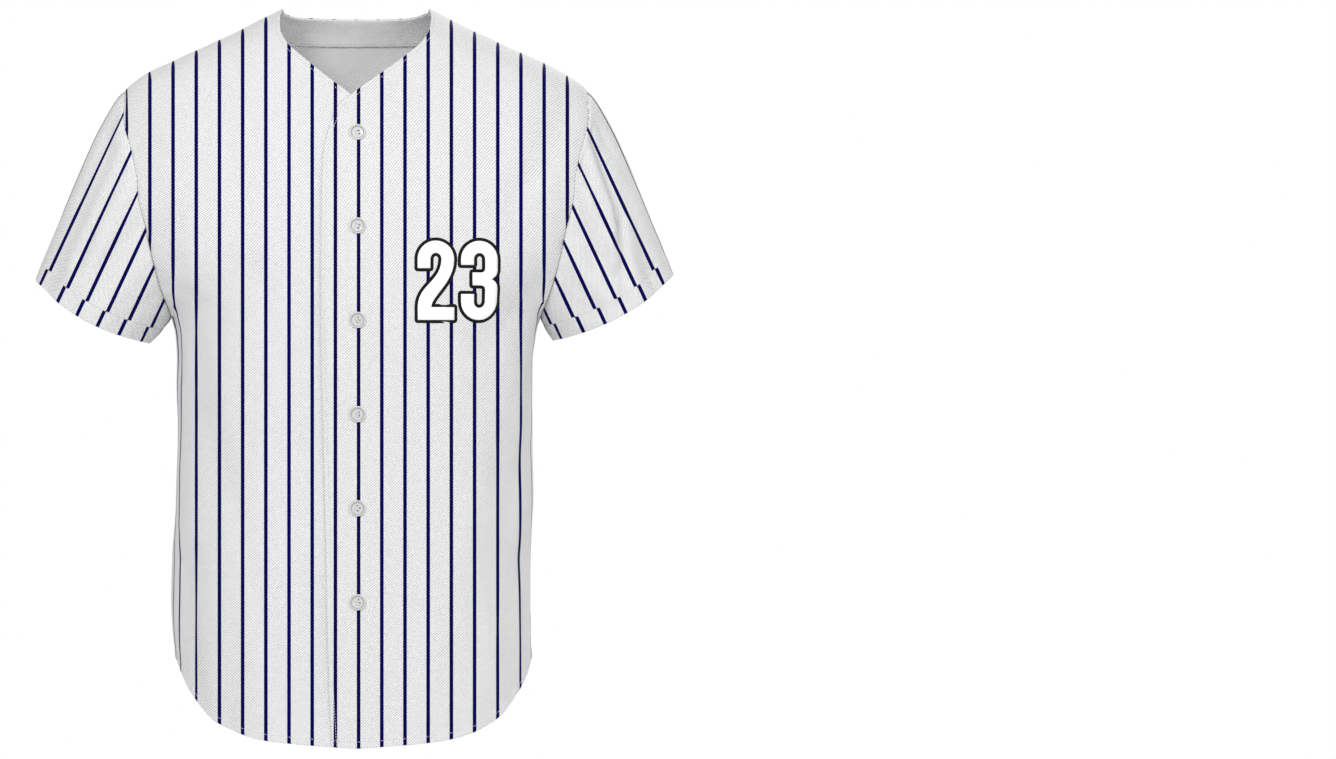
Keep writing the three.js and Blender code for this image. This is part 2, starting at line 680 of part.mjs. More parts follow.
// A dished button with a rounded rim and four thread holes, its back at the origin and its face towards +Y
function buttonGeometry() {
  const outline = BUTTON_PROFILE.map((row) => new THREE.Vector2(row.radius, row.height));
  let solid = asSolid(new THREE.LatheGeometry(outline, BUTTON_SEGMENTS));
  [[1, 1], [1, -1], [-1, 1], [-1, -1]].forEach(([x, z]) => {
    const radius = BUTTON_HOLE_RADIUS;
    const drill = new THREE.CylinderGeometry(radius, radius, BUTTON_DRILL_LENGTH, BUTTON_HOLE_SIDES);
    drill.translate(x * BUTTON_HOLE_OFFSET, 0, z * BUTTON_HOLE_OFFSET);
    solid = solid.subtract(asSolid(drill));
  });
  return asGeometry(solid);
}

// Each button lies flat on the placket
function button(name, z, geometry) {
  const seat = sectionPoint(FRONT, angleAt(BUTTON_X, z), z);
  const normal = bodyNormal(FRONT, seat);
  const mesh = piece(name, geometry, buttonMaterial);
  mesh.quaternion.setFromUnitVectors(new THREE.Vector3(0, 1, 0), normal);
  mesh.position.copy(seat).addScaledVector(normal, CLOTH + LAYER_GAP + BUTTON_SEAT);
  return mesh;
}

function jersey() {
  const group = new THREE.Group();
  const sleeves = CUFFS.map((cuff) => ({ cuff, grid: sleeveGrid(cuff) }));
  const seams = {};
  sleeves.forEach(({ cuff, grid }) => { seams[cuff.side] = armholeSeam(cuff, grid); });
  group.add(frontPanel('front_left', LEFT, seams));
  group.add(frontPanel('front_right', RIGHT, seams));
  const back = backRows(seams);
  group.add(piece('back', wallGeometry(back, CLOTH, false), clothMaterial));
  group.add(backFacing(back));
  sleeves.forEach(({ cuff, grid }) => {
    const name = cuff.side === LEFT ? 'sleeve_left' : 'sleeve_right';
    group.add(sleevePiece(name, grid, seams[cuff.side]));
  });
  const geometry = buttonGeometry();
  for (let i = 0; i < BUTTON_COUNT; i += 1) {
    group.add(button(`button_${i + 1}`, BUTTON_TOP_Z - i * BUTTON_PITCH, geometry));
  }
  return group;
}

export default jersey();
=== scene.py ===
"""Looks of a short-sleeved baseball jersey, filled out as when worn.

The cloth pieces follow the same sections, armholes, neckline and shirt-tail hem as the model's solids, at a
finer step. Lengths in the tables are millimetres. The front faces -Y, +X is the wearer's left and +Z is up.
The origin lies midway between the two neck-shoulder points.
"""

import math
from collections import namedtuple

import bmesh
import bpy
import numpy as np
from mathutils import Matrix, Vector
from mathutils.geometry import delaunay_2d_cdt


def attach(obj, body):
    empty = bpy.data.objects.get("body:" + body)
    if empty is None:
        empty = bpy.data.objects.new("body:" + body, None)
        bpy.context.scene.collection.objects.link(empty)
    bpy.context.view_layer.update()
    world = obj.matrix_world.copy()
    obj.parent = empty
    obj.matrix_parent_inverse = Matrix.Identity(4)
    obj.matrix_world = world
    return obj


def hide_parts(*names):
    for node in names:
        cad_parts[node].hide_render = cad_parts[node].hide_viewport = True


bl_info = {
    "name": "Baseball jersey",
    "version": (1, 0, 0),
    "blender": (4, 5, 0),
    "location": "View3D > Sidebar > Jersey",
    "description": "Striped knit cloth, seams, stitches, buttons and numerals of a baseball jersey",
    "category": "Object",
}

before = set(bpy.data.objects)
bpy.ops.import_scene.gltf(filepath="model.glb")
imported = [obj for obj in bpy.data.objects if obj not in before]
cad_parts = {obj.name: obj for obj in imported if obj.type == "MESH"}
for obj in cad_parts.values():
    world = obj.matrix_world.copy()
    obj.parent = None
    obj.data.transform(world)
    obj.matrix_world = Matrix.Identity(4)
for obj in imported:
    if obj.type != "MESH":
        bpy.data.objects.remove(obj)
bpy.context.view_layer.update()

MM = 0.001
FRONT, BACK = -1, 1
LEFT, RIGHT = 1, -1

# Cloth
SOLID_CLOTH = 1.6
SEAM_GAP = 0.3
LAYER_GAP = 0.3
HEM_RAISE = 0.5
BODY_HEM = 7
SLEEVE_HEM = 19
HEM_STEP = 0.8
MITRE_LIMIT = 2
SEAM_FADE = 28
CREASE_FADE = 10
SEAM_ROLL_DEPTH = 0.5
SEAM_ROLL_WIDTH = 2.6
WALL_TURN = 8
STITCH_SINK = 0.3
STITCH_SINK_WIDTH = 1.1
PUCKER_HEIGHT = 0.32
PUCKER_REACH = 9

# Levels of the body
SHOULDER_TIP_Z = -90
UNDERARM_Z = -337
CENTRE_HEM_Z = -794
BACK_NECK_DROP = 5.5
BACK_YOKE_DIP = 10
YOKE_DIP_FROM = 5

# Fineness of the cloth
SHOULDER_ROWS = [0, 0.8, 1.8, 3, 4.5, 6.5, 9, 12]
SHOULDER_STEPS = 24
ARMHOLE_STEPS = 84
BODY_STEPS = 112
HEM_ROWS = [16, 13, 10.5, 8.8, 7.8, 7.3, 6.8, 6.3, 5.9, 5.5, 5, 4.2, 3, 1.8, 0.8, 0.2, 0]
EDGE_COLUMNS = [0, 0.4, 1.2, 2.2, 3, 3.6, 4, 4.4, 5, 6, 7.6, 9.8, 12.5]
SEAM_COLUMNS = [0, 0.5, 1.2, 2.1, 3.2, 4.6, 6.4, 8.8, 12]
FRONT_MIDDLE_COLUMNS = 54
BACK_MIDDLE_COLUMNS = 118
SLEEVE_ROWS = [0, 0.5, 1.2, 2.1, 3.2, 4.6, 6.4, 8.8]
SLEEVE_MIDDLE_ROWS = 42
SLEEVE_HEM_ROWS = [23, 21, 19.8, 19.2, 18.6, 18, 17.4, 16.8, 16, 14, 11, 8, 5, 2.6, 1, 0.3, 0]
ROW_SAMPLES = 360
RIM_STEPS = 4
SEAM_ROUNDNESS = 0.1

# Horizontal sections of the filled-out body. In the shoulder zone half is the shoulder line's distance out.
Section = namedtuple("Section", "z half front back power")
SECTIONS = [
    Section(0, 80, 66, 72, 2),
    Section(-9, 97.5, 72, 78, 2),
    Section(-23, 124.5, 78, 86, 2),
    Section(-35, 149, 83, 91, 2),
    Section(-45.5, 173.5, 87, 95, 2),
    Section(-58, 201, 91, 99, 2),
    Section(-71, 227, 95, 103, 2),
    Section(-90, 252, 101, 108, 2),
    Section(-140, 274, 116, 120, 2.05),
    Section(-200, 278, 129, 130, 2.15),
    Section(-243, 260, 135, 134, 2.25),
    Section(-284, 239, 138, 134, 2.35),
    Section(-312, 219, 138.8, 133.2, 2.4),
    Section(-337, 201, 139, 132, 2.45),
    Section(-356, 195.5, 138.8, 130.8, 2.48),
    Section(-385, 193.2, 138, 129, 2.5),
    Section(-450, 193, 136, 126.5, 2.5),
    Section(-560, 194.5, 133, 127, 2.5),
    Section(-640, 195.5, 131, 129, 2.5),
    Section(-720, 192, 129, 129, 2.5),
    Section(-800, 187, 127, 128, 2.5),
]

# Shirt-tail hem: its rise above the centre, by the share of the quarter turn from the centre to the side
Rise = namedtuple("Rise", "share rise")
HEM = [
    Rise(1, 92),
    Rise(0.9, 81),
    Rise(0.75, 52),
    Rise(0.585, 26),
    Rise(0.465, 15),
    Rise(0.36, 8.5),
    Rise(0.21, 4),
    Rise(0, 0),
]

# How far the body's middle stands off the centre plane, and where the placket's middle line runs
Lean = namedtuple("Lean", "z body placket")
LEAN = [
    Lean(0, 0, 0),
    Lean(-40, 0, -2),
    Lean(-101, 0, -5),
    Lean(-337, 0, -5),
    Lean(-400, -2, -5),
    Lean(-450, -1, -5),
    Lean(-530, -1.5, -5),
    Lean(-600, -5, -5),
    Lean(-640, -5.5, -5),
    Lean(-720, -2.5, -5),
    Lean(-800, -1, -5),
]

# Inner edge of each front: distance from the placket's middle line towards its own side
Edge = namedtuple("Edge", "z edge")
FRONT_EDGE = [
    Edge(0, 80),
    Edge(-13, 82.5),
    Edge(-25, 81.5),
    Edge(-40.5, 74),
    Edge(-55, 59),
    Edge(-75, 34),
    Edge(-89, 15.5),
    Edge(-101, 0),
    Edge(-115, -14.5),
    Edge(-171, -29.5),
    Edge(-215, -31),
    Edge(-350, -32),
    Edge(-446, -29.5),
    Edge(-552, -27),
    Edge(-658, -25),
    Edge(-742, -22.5),
    Edge(-794, -19.5),
]
PLACKET_FLAT = 34
PLACKET_EASE = 50
LAYER_FROM_Z = -50
LAYER_FULL_Z = -98

# Armhole seam: its angle round the section, from the side by way of the front or back
Turn = namedtuple("Turn", "z degrees")
ARMHOLE = [
    Turn(-90, 0),
    Turn(-93, 8),
    Turn(-102, 14.5),
    Turn(-120, 20.6),
    Turn(-160, 29.1),
    Turn(-200, 32.7),
    Turn(-243, 30.1),
    Turn(-284, 25.3),
    Turn(-310, 18.5),
    Turn(-325, 12.5),
    Turn(-334, 7),
    Turn(-337, 0),
]

# Sleeve openings: both ends of each hem, seen from the front, and where a stripe lies on each face
Cuff = namedtuple("Cuff", "name side outer_x outer_z inner_x inner_z front_stripe back_stripe")
CUFFS = [
    Cuff("left", LEFT, 344.5, -289, 214.5, -361, 284.7, 269.6),
    Cuff("right", RIGHT, -348, -295, -224.5, -364, 268.1, 273.5),
]
CUFF_DEPTH = 152
CUFF_FORWARD = 4
CUFF_DROP_FRONT = 11
CUFF_DROP_BACK = 6
SLEEVE_BULGE = 7.5
SLEEVE_BULGE_SKEW = 0.6
SLEEVE_FOLD_FADE = 0.2
SLEEVE_LENGTH = 180

# Large folds, which the solids have too: ridges (height above 0) and troughs between two places on a face
Fold = namedtuple("Fold", "face from_x from_z to_x to_z width height")
BODY_FOLDS = [
    Fold(FRONT, -182, -330, -120, -292, 22, -5),
    Fold(FRONT, -188, -360, -150, -520, 20, -3.5),
    Fold(FRONT, -180, -600, -172, -760, 18, -4),
    Fold(FRONT, 165, -480, 150, -650, 24, -4.5),
    Fold(FRONT, 176, -600, 168, -745, 18, -4),
    Fold(FRONT, 222, -125, 170, -215, 18, -3.5),
    Fold(FRONT, 196, -300, 140, -365, 22, -4),
    Fold(FRONT, -62, -480, -48, -760, 18, -2.5),
    Fold(BACK, 150, -235, 182, -470, 18, 4),
    Fold(BACK, 170, -400, 176, -540, 18, -5),
    Fold(BACK, 130, -480, 178, -670, 20, 4),
    Fold(BACK, -140, -330, -132, -560, 20, -5),
    Fold(BACK, -166, -400, -168, -690, 16, 4),
    Fold(BACK, -95, -600, -80, -780, 20, -4),
    Fold(BACK, 60, -640, 40, -785, 20, -3.5),
]

# Finer creases of the body, each bent through a middle place
CREASE_PARTS = 10
Crease = namedtuple("Crease", "face from_x from_z bend_x bend_z to_x to_z width height")
CREASES = [
    Crease(FRONT, -206, -300, -178, -312, -150, -345, 7, -1.6),
    Crease(FRONT, -198, -336, -180, -372, -172, -440, 8, 1.4),
    Crease(FRONT, -204, -270, -186, -262, -158, -272, 6, 1.1),
    Crease(FRONT, -192, -392, -166, -432, -150, -505, 8, -1.3),
    Crease(FRONT, -193, -560, -184, -620, -178, -700, 7, -1.9),
    Crease(FRONT, -172, -590, -166, -660, -166, -740, 8, 1.3),
    Crease(FRONT, -120, -610, -112, -680, -118, -780, 11, 0.9),
    Crease(FRONT, -42, -140, -43, -300, -41, -560, 7, -3.4),
    Crease(FRONT, -30, -140, -31, -300, -29, -560, 8, 0.9),
    Crease(FRONT, -41, -560, -40, -660, -37, -780, 8, -3.4),
    Crease(FRONT, -12, -500, -10, -552, -14, -610, 9, -0.7),
    Crease(FRONT, 30, -610, 26, -690, 34, -780, 10, -0.8),
    Crease(FRONT, 78, -560, 84, -660, 74, -770, 12, 0.8),
    Crease(FRONT, 120, -560, 132, -640, 122, -770, 10, -1.1),
    Crease(FRONT, 188, -470, 168, -520, 160, -600, 8, -1.5),
    Crease(FRONT, 190, -560, 180, -640, 172, -720, 7, 1.7),
    Crease(FRONT, 192, -410, 174, -440, 166, -500, 7, 1.1),
    Crease(FRONT, 212, -290, 184, -312, 160, -352, 7, -1.7),
    Crease(FRONT, 200, -330, 182, -362, 176, -420, 8, 1.3),
    Crease(FRONT, 226, -150, 206, -176, 182, -196, 8, -1.2),
    Crease(FRONT, 216, -190, 196, -206, 172, -214, 7, 1.0),
    Crease(FRONT, -222, -140, -204, -170, -184, -186, 8, -1.0),
    Crease(FRONT, -18, -112, 0, -100, 20, -94, 4, -0.9),
    Crease(FRONT, -30, -128, -8, -116, 12, -112, 5, 0.6),
    Crease(FRONT, 60, -40, 110, -58, 170, -92, 12, -0.7),
    Crease(FRONT, -66, -42, -112, -60, -168, -94, 12, -0.7),
    Crease(BACK, 208, -300, 180, -330, 160, -400, 9, -1.6),
    Crease(BACK, 200, -340, 190, -400, 184, -470, 7, 1.6),
    Crease(BACK, 160, -230, 166, -300, 176, -380, 8, 1.2),
    Crease(BACK, 186, -560, 178, -620, 180, -700, 7, -1.8),
    Crease(BACK, 150, -650, 140, -710, 142, -780, 9, 1.2),
    Crease(BACK, -208, -300, -184, -322, -158, -360, 8, -1.5),
    Crease(BACK, -196, -350, -178, -400, -170, -480, 8, 1.4),
    Crease(BACK, -190, -520, -176, -580, -174, -680, 7, -1.7),
    Crease(BACK, -150, -600, -144, -680, -150, -780, 9, 1.2),
    Crease(BACK, -20, -600, -28, -690, -18, -785, 12, -0.9),
    Crease(BACK, 96, -560, 104, -640, 96, -760, 12, 0.9),
    Crease(BACK, -60, -26, -20, -40, 30, -34, 10, -0.6),
    Crease(BACK, 226, -160, 200, -196, 178, -230, 8, -1.1),
    Crease(BACK, -226, -160, -202, -190, -180, -222, 8, -1.1),
]

# Slow waves of the cloth, and the ripples that die away above the hem
Wave = namedtuple("Wave", "height across down start")
WAVES = [
    Wave(0.42, 97, 310, 0.4),
    Wave(0.30, 61, -230, 2.1),
    Wave(0.22, 43, 170, 4.0),
    Wave(0.26, 140, -90, 1.2),
    Wave(0.12, 29, 120, 5.1),
]
HEM_WAVES = [
    Wave(1.1, 88, 900, 0.9),
    Wave(0.8, 57, -1400, 3.3),
    Wave(0.35, 31, 700, 1.7),
]
HEM_WAVE_REACH = 70
PUCKERS = [
    Wave(0.3, 13, 17, 0.3),
    Wave(0.15, 8.3, 9.1, 2.2),
]
WAVE_FREE = 24

# Sleeve folds: around is degrees from the top by way of the front, along runs from 0 at the armhole to 1
SleeveFold = namedtuple("SleeveFold", "side around1 along1 around2 along2 width height")
SLEEVE_FOLDS = [
    SleeveFold(RIGHT, 34, 0.12, 40, 0.95, 17, -7),
    SleeveFold(RIGHT, 62, 0.1, 66, 0.8, 15, 3.5),
    SleeveFold(RIGHT, 104, 0.1, 86, 0.75, 15, -5),
    SleeveFold(RIGHT, 250, 0.1, 292, 0.9, 17, -6),
    SleeveFold(RIGHT, 215, 0.2, 238, 0.9, 15, -4),
    SleeveFold(LEFT, 30, 0.1, 44, 0.9, 17, -8),
    SleeveFold(LEFT, 62, 0.12, 72, 0.95, 16, 4),
    SleeveFold(LEFT, 96, 0.1, 84, 0.7, 14, -8),
    SleeveFold(LEFT, 136, 0.15, 112, 0.85, 14, -6),
    SleeveFold(LEFT, 262, 0.1, 300, 0.9, 17, -6),
    SleeveFold(LEFT, 222, 0.2, 240, 0.9, 15, -5),
]
SLEEVE_CREASES = [
    SleeveFold(RIGHT, 56, 0.12, 62, 0.72, 9, -5),
    SleeveFold(RIGHT, 96, 0.06, 84, 0.6, 8, -5),
    SleeveFold(RIGHT, 22, 0.03, 26, 0.5, 6, -1.4),
    SleeveFold(RIGHT, 48, 0.02, 54, 0.62, 7, 1.3),
    SleeveFold(RIGHT, 78, 0.03, 92, 0.7, 6, -1.4),
    SleeveFold(RIGHT, 118, 0.03, 104, 0.8, 7, 1.6),
    SleeveFold(RIGHT, 140, 0.1, 122, 0.9, 6, -1.5),
    SleeveFold(RIGHT, 58, 0.55, 74, 1, 7, -1.1),
    SleeveFold(RIGHT, 232, 0.1, 262, 0.7, 7, 1.5),
    SleeveFold(RIGHT, 300, 0.05, 318, 0.6, 7, -1.3),
    SleeveFold(LEFT, 38, 0.06, 50, 0.5, 10, -7),
    SleeveFold(LEFT, 52, 0.5, 84, 0.9, 10, -7),
    SleeveFold(LEFT, 58, 0.04, 72, 0.42, 9, -6.5),
    SleeveFold(LEFT, 84, 0.04, 92, 0.5, 9, -5.5),
    SleeveFold(LEFT, 68, 0.2, 76, 0.66, 7, 3.5),
    SleeveFold(LEFT, 24, 0.02, 20, 0.45, 6, -1.5),
    SleeveFold(LEFT, 44, 0.03, 58, 0.5, 6, 1.8),
    SleeveFold(LEFT, 74, 0.02, 80, 0.55, 6, -1.8),
    SleeveFold(LEFT, 108, 0.03, 96, 0.8, 7, 2),
    SleeveFold(LEFT, 124, 0.1, 104, 0.95, 6, -1.6),
    SleeveFold(LEFT, 56, 0.55, 50, 1, 7, -1.2),
    SleeveFold(LEFT, 240, 0.1, 268, 0.7, 7, 1.6),
    SleeveFold(LEFT, 306, 0.05, 322, 0.6, 7, -1.3),
]
SLEEVE_CREASE_FADE = 0.05

# Buttons
BUTTON_COUNT = 6
BUTTON_TOP_Z = -142
BUTTON_PITCH = 99.5
BUTTON_X = 1.5
BUTTON_SEAT = 0.4

# Strip inside the back neck
FACING_CLOTH = 1.2
FACING_LEVEL_Z = -26
FACING_SIDE_SHARE = 0.09
FACING_ROWS = 26
FACING_COLUMNS = 90

# Stripes are an even grid as seen from the front and from the back at this distance
VIEW_DISTANCE = 4500
VIEW_Z = -404
STRIPE_DEPTH = 139
STRIPE_STEP = 24.5
FRONT_STRIPE_X = 2.7
BACK_STRIPE_X = 0
SLEEVE_STRIPE_DEGREES = 25.1
PLANE_SHARE = 0.97
PLANE_BELOW_Z = -300
STRIPE_SPREAD = 1.4
FACING_SHARES = (0.25, 0.6)
DEPTH_SHARE = 0.5
NARROWEST_STRIPE = 0.3
HEM_JOG = 3.3

# Stitches
NECK_STITCH = 4
UNDERLAP_STITCH_END_Z = -125

FAR_UP = 1e4
SLOPE_STEP = 0.05
SEAM_SLOPE_STEP = 0.5
SAME_POINT = 1e-5
SMALLEST_FACE = 1e-13

# Columns for a cloth piece's flat cut in metres: an estimated width and length, and the area of the built
# piece. No piece here is given a cut.
Cut = namedtuple("Cut", "width length area")

# Buttons: sides of the rim and of each hole, and how far each button is turned, in degrees
BUTTON_SIDES = 64
HOLE_SIDES = 20
THREAD_TURNS = [12, -20, 34, 5, -38, 22]

# Numerals: place and size of a digit, as measured in the photo, and how finely it is drawn
Numeral = namedtuple("Numeral", "face left top width height stroke gap")
NUMERALS = [
    Numeral(FRONT, 65, -257, 39, 84, 13.6, 7.2),
    Numeral(BACK, 94, -229, 84.5, 183, 28.5, 18.5),
]
ARC_PARTS = 14
CURVE_PARTS = 12
CORNER_SIDES = 10
FILL_STEP = 3.1
FILL_MARGIN = 4.2
FILL_FILMS = 3

# Height above which the knit's place along the cloth also takes in its depth
SHOULDER_FROM_Z = -300


def smooth_curve(rows, column, key="z"):
    """A curve through one column of a table, with no overshoot; the key column falls from row to row."""
    at = np.array([getattr(row, key) for row in rows], float)
    value = np.array([getattr(row, column) for row in rows], float)
    span = np.diff(at)
    slope = np.diff(value) / span
    before = np.concatenate([slope[:1], slope])
    after = np.concatenate([slope, slope[-1:]])
    total = np.where(before + after == 0, 1, before + after)
    tangent = np.where(before * after <= 0, 0, 2 * before * after / total)

    def read(z):
        inside = np.clip(np.asarray(z, float), at[-1], at[0])
        i = np.clip(np.searchsorted(-at, -inside, side="right") - 1, 0, len(slope) - 1)
        t = (inside - at[i]) / span[i]
        ease = t * t * (3 - 2 * t)
        start = t * (1 - t) ** 2 * span[i] * tangent[i]
        end = t * t * (t - 1) * span[i] * tangent[i + 1]
        return value[i] + ease * (value[i + 1] - value[i]) + start + end

    return read


half = smooth_curve(SECTIONS, "half")
front_depth = smooth_curve(SECTIONS, "front")
back_depth = smooth_curve(SECTIONS, "back")
power = smooth_curve(SECTIONS, "power")
body_middle = smooth_curve(LEAN, "body")
placket_middle = smooth_curve(LEAN, "placket")
front_edge = smooth_curve(FRONT_EDGE, "edge")
armhole_degrees = smooth_curve(ARMHOLE, "degrees")
hem_rise = smooth_curve(HEM, "rise", "share")
SIDE_HEM_Z = CENTRE_HEM_Z + float(hem_rise(1))


def unit(vectors):
    """The same directions at length 1."""
    length = np.linalg.norm(vectors, axis=-1, keepdims=True)
    return vectors / np.where(length == 0, 1, length)


def smoothstep(low, high, value):
    """0 up to low, 1 from high on and smooth between them."""
    t = np.clip((value - low) / (high - low), 0, 1)
    return t * t * (3 - 2 * t)


def depth(face, z):
    return front_depth(z) if face == FRONT else back_depth(z)


def section_point(face, theta, z):
    """The point of the body's section at an angle from the wearer's left side seam."""
    x = np.cos(theta)
    y = (1 - np.abs(x) ** power(z)) ** (1 / power(z))
    return np.stack([body_middle(z) + half(z) * x, face * depth(face, z) * y, z + 0 * x], axis=-1)


def angle_at(x, z):
    return np.arccos(np.clip((x - body_middle(z)) / half(z), -1, 1))


def body_normal(face, points):
    """Outward normal of the plain body, from the slope of its sections."""

    def reach(x, y, z):
        across = np.abs((x - body_middle(z)) / half(z)) ** power(z)
        return across + np.abs(y / depth(face, z)) ** power(z)

    x, y, z = points[..., 0], points[..., 1], points[..., 2]
    step = SLOPE_STEP
    slopes = [
        reach(x + step, y, z) - reach(x - step, y, z),
        reach(x, y + step, z) - reach(x, y - step, z),
        reach(x, y, z + step) - reach(x, y, z - step),
    ]
    return unit(np.stack(slopes, axis=-1))


def middle_seam_normal(side, z):
    """Outward normal on a seam in the plane y = 0: the shoulder and side seams."""
    top = min(z + SEAM_SLOPE_STEP, 0)
    slope = (half(top) - half(top - 2 * SEAM_SLOPE_STEP)) / (2 * SEAM_SLOPE_STEP)
    return unit(np.array([side, 0, -slope], float))


# A level runs round a panel: its height at the side and centre, and how far it is above the hem's edge
Level = namedtuple("Level", "zone side centre up")


def level_z(level, theta):
    """Height of a level at an angle: it bends towards its seam as the hem rises towards the side seams."""
    from_centre = 1 - np.arccos(np.abs(np.cos(theta))) / (np.pi / 2)
    at_seam = 1 - float(armhole_degrees(level.side)) / 90 if level.zone == "armhole" else 1
    return level.centre + (level.side - level.centre) * (hem_rise(from_centre) / hem_rise(at_seam))


def back_dip(z):
    """How much lower the back's middle lies than its shoulder seam."""
    full = BACK_YOKE_DIP * (1 - YOKE_DIP_FROM / -SHOULDER_TIP_Z)
    return np.interp(-z, [0, YOKE_DIP_FROM, -SHOULDER_TIP_Z], [BACK_NECK_DROP, full, 0])


def shoulder_level(face, z):
    dip = float(back_dip(z)) if face == BACK else 0
    return Level("shoulder", float(z), float(z) - dip, FAR_UP)


def hem_level(up):
    return Level("body", SIDE_HEM_Z + up, CENTRE_HEM_Z + up, up)


def armhole_levels():
    """Heights down the armhole, closer together at its top and bottom, where the seam turns."""
    middle = (SHOULDER_TIP_Z + UNDERARM_Z) / 2
    reach = (SHOULDER_TIP_Z - UNDERARM_Z) / 2
    return middle + reach * np.cos(np.pi * np.arange(ARMHOLE_STEPS + 1) / ARMHOLE_STEPS)


def panel_levels(face):
    """Levels from the neck-shoulder point to the hem's edge, shared by the fronts and the back."""
    start = -np.array(SHOULDER_ROWS, float)
    rest = np.linspace(start[-1], SHOULDER_TIP_Z, SHOULDER_STEPS + 1)[1:-1]
    levels = [shoulder_level(face, z) for z in np.concatenate([start, rest])]
    even = np.linspace(SHOULDER_TIP_Z, UNDERARM_Z, ARMHOLE_STEPS + 1)
    levels += [Level("armhole", float(z), float(c), FAR_UP) for z, c in zip(armhole_levels(), even)]
    top = hem_level(HEM_ROWS[0])
    for share in np.arange(1, BODY_STEPS) / BODY_STEPS:
        side = UNDERARM_Z + share * (top.side - UNDERARM_Z)
        centre = UNDERARM_Z + share * (top.centre - UNDERARM_Z)
        levels.append(Level("body", side, centre, centre - CENTRE_HEM_Z))
    return levels + [hem_level(up) for up in HEM_ROWS]


def seam_angle(side, off_middle):
    return off_middle if side == LEFT else np.pi - off_middle


def outer_angle(level, side):
    """Angle of a side's outer seam on a level: the armhole lies off the middle plane."""
    off_middle = np.radians(armhole_degrees(level.side)) if level.zone == "armhole" else 0.0
    return seam_angle(side, off_middle)


def column_places(total, start, end, middle_count):
    """Distances along a row: close together at both ends and even between them."""
    fit = min(1.0, total / (1.6 * (start[-1] + end[-1])))
    first = np.array(start, float) * fit
    last = total - np.array(end[::-1], float) * fit
    middle = np.linspace(first[-1], last[0], middle_count + 2)[1:-1]
    return np.concatenate([first, middle, last])


def level_row(face, level, from_theta, to_theta, places):
    """Points of one level between two angles, at distances along the cloth that places works out."""
    theta = np.linspace(from_theta, to_theta, ROW_SAMPLES + 1)
    samples = section_point(face, theta, level_z(level, theta))
    steps = np.linalg.norm(np.diff(samples, axis=0), axis=1)
    length = np.concatenate([[0], np.cumsum(steps)])
    at = places(length[-1])
    turned = np.interp(at, length, theta) if length[-1] > 0 else np.full(len(at), from_theta)
    return section_point(face, turned, level_z(level, turned))


def line_distance(x, z, from_x, from_z, to_x, to_z):
    """Distance from a straight line between two places, and the share of the way along it."""
    run_x, run_z = to_x - from_x, to_z - from_z
    share = ((x - from_x) * run_x + (z - from_z) * run_z) / (run_x**2 + run_z**2)
    share = np.clip(share, 0, 1)
    return np.hypot(x - from_x - share * run_x, z - from_z - share * run_z), share


def fold_height(face, x, z):
    """The large folds of one face."""
    height = np.zeros(np.shape(x))
    for fold in BODY_FOLDS:
        if fold.face == face:
            away, _ = line_distance(x, z, fold.from_x, fold.from_z, fold.to_x, fold.to_z)
            height += fold.height * np.exp(-((away / fold.width) ** 2))
    return height


def crease_height(face, x, z):
    """The finer creases of one face: each tapers to nothing at both ends and has a soft shoulder."""
    height = np.zeros(np.shape(x))
    for crease in CREASES:
        if crease.face != face:
            continue
        t = np.linspace(0, 1, CREASE_PARTS + 1)
        path_x = (1 - t) ** 2 * crease.from_x + 2 * t * (1 - t) * crease.bend_x + t * t * crease.to_x
        path_z = (1 - t) ** 2 * crease.from_z + 2 * t * (1 - t) * crease.bend_z + t * t * crease.to_z
        nearest = np.full(np.shape(x), np.inf)
        walked = np.zeros(np.shape(x))
        for i in range(CREASE_PARTS):
            away, share = line_distance(x, z, path_x[i], path_z[i], path_x[i + 1], path_z[i + 1])
            closer = away < nearest
            nearest = np.where(closer, away, nearest)
            walked = np.where(closer, (i + share) / CREASE_PARTS, walked)
        width = crease.width * (0.7 + 0.8 * walked)
        ratio = (nearest / width) ** 2
        taper = np.sin(np.pi * np.clip(walked, 0, 1)) ** 0.7
        height += crease.height * taper * (1 - 0.4 * ratio) * np.exp(-ratio)
    return height


def wave_height(waves, across, down):
    return sum(w.height * np.sin(2 * np.pi * (across / w.across + down / w.down) + w.start) for w in waves)


def loose_height(face, x, z, up):
    """Slow waves of the cloth and ripples above the hem, about a third as high round the buttons."""
    free = smoothstep(WAVE_FREE, 3 * WAVE_FREE, np.abs(x - BUTTON_X)) if face == FRONT else 1
    ripples = wave_height(HEM_WAVES, x, z) * np.exp(-up / HEM_WAVE_REACH)
    return wave_height(WAVES, x + 31 * face, z) * (0.35 + 0.65 * free) + ripples * (0.3 + 0.7 * free)


def hem_raise(up, hem):
    """The doubled cloth of a hem."""
    return HEM_RAISE * (1 - smoothstep(hem, hem + HEM_STEP, up))


def stitch_sink(away):
    """The dip that a row of stitches draws into the cloth."""
    return -STITCH_SINK * np.exp(-((away / STITCH_SINK_WIDTH) ** 2))


def layer_raise(side, points):
    """The top front stands out by one layer where it lies on the other front."""
    if side == RIGHT:
        return np.zeros(points.shape[:-1])
    from_middle = points[..., 0] - placket_middle(points[..., 2])
    across = 1 - smoothstep(PLACKET_FLAT, PLACKET_FLAT + PLACKET_EASE, from_middle)
    down = smoothstep(-LAYER_FROM_Z, -LAYER_FULL_Z, -points[..., 2])
    return (SOLID_CLOTH + LAYER_GAP) * across * down


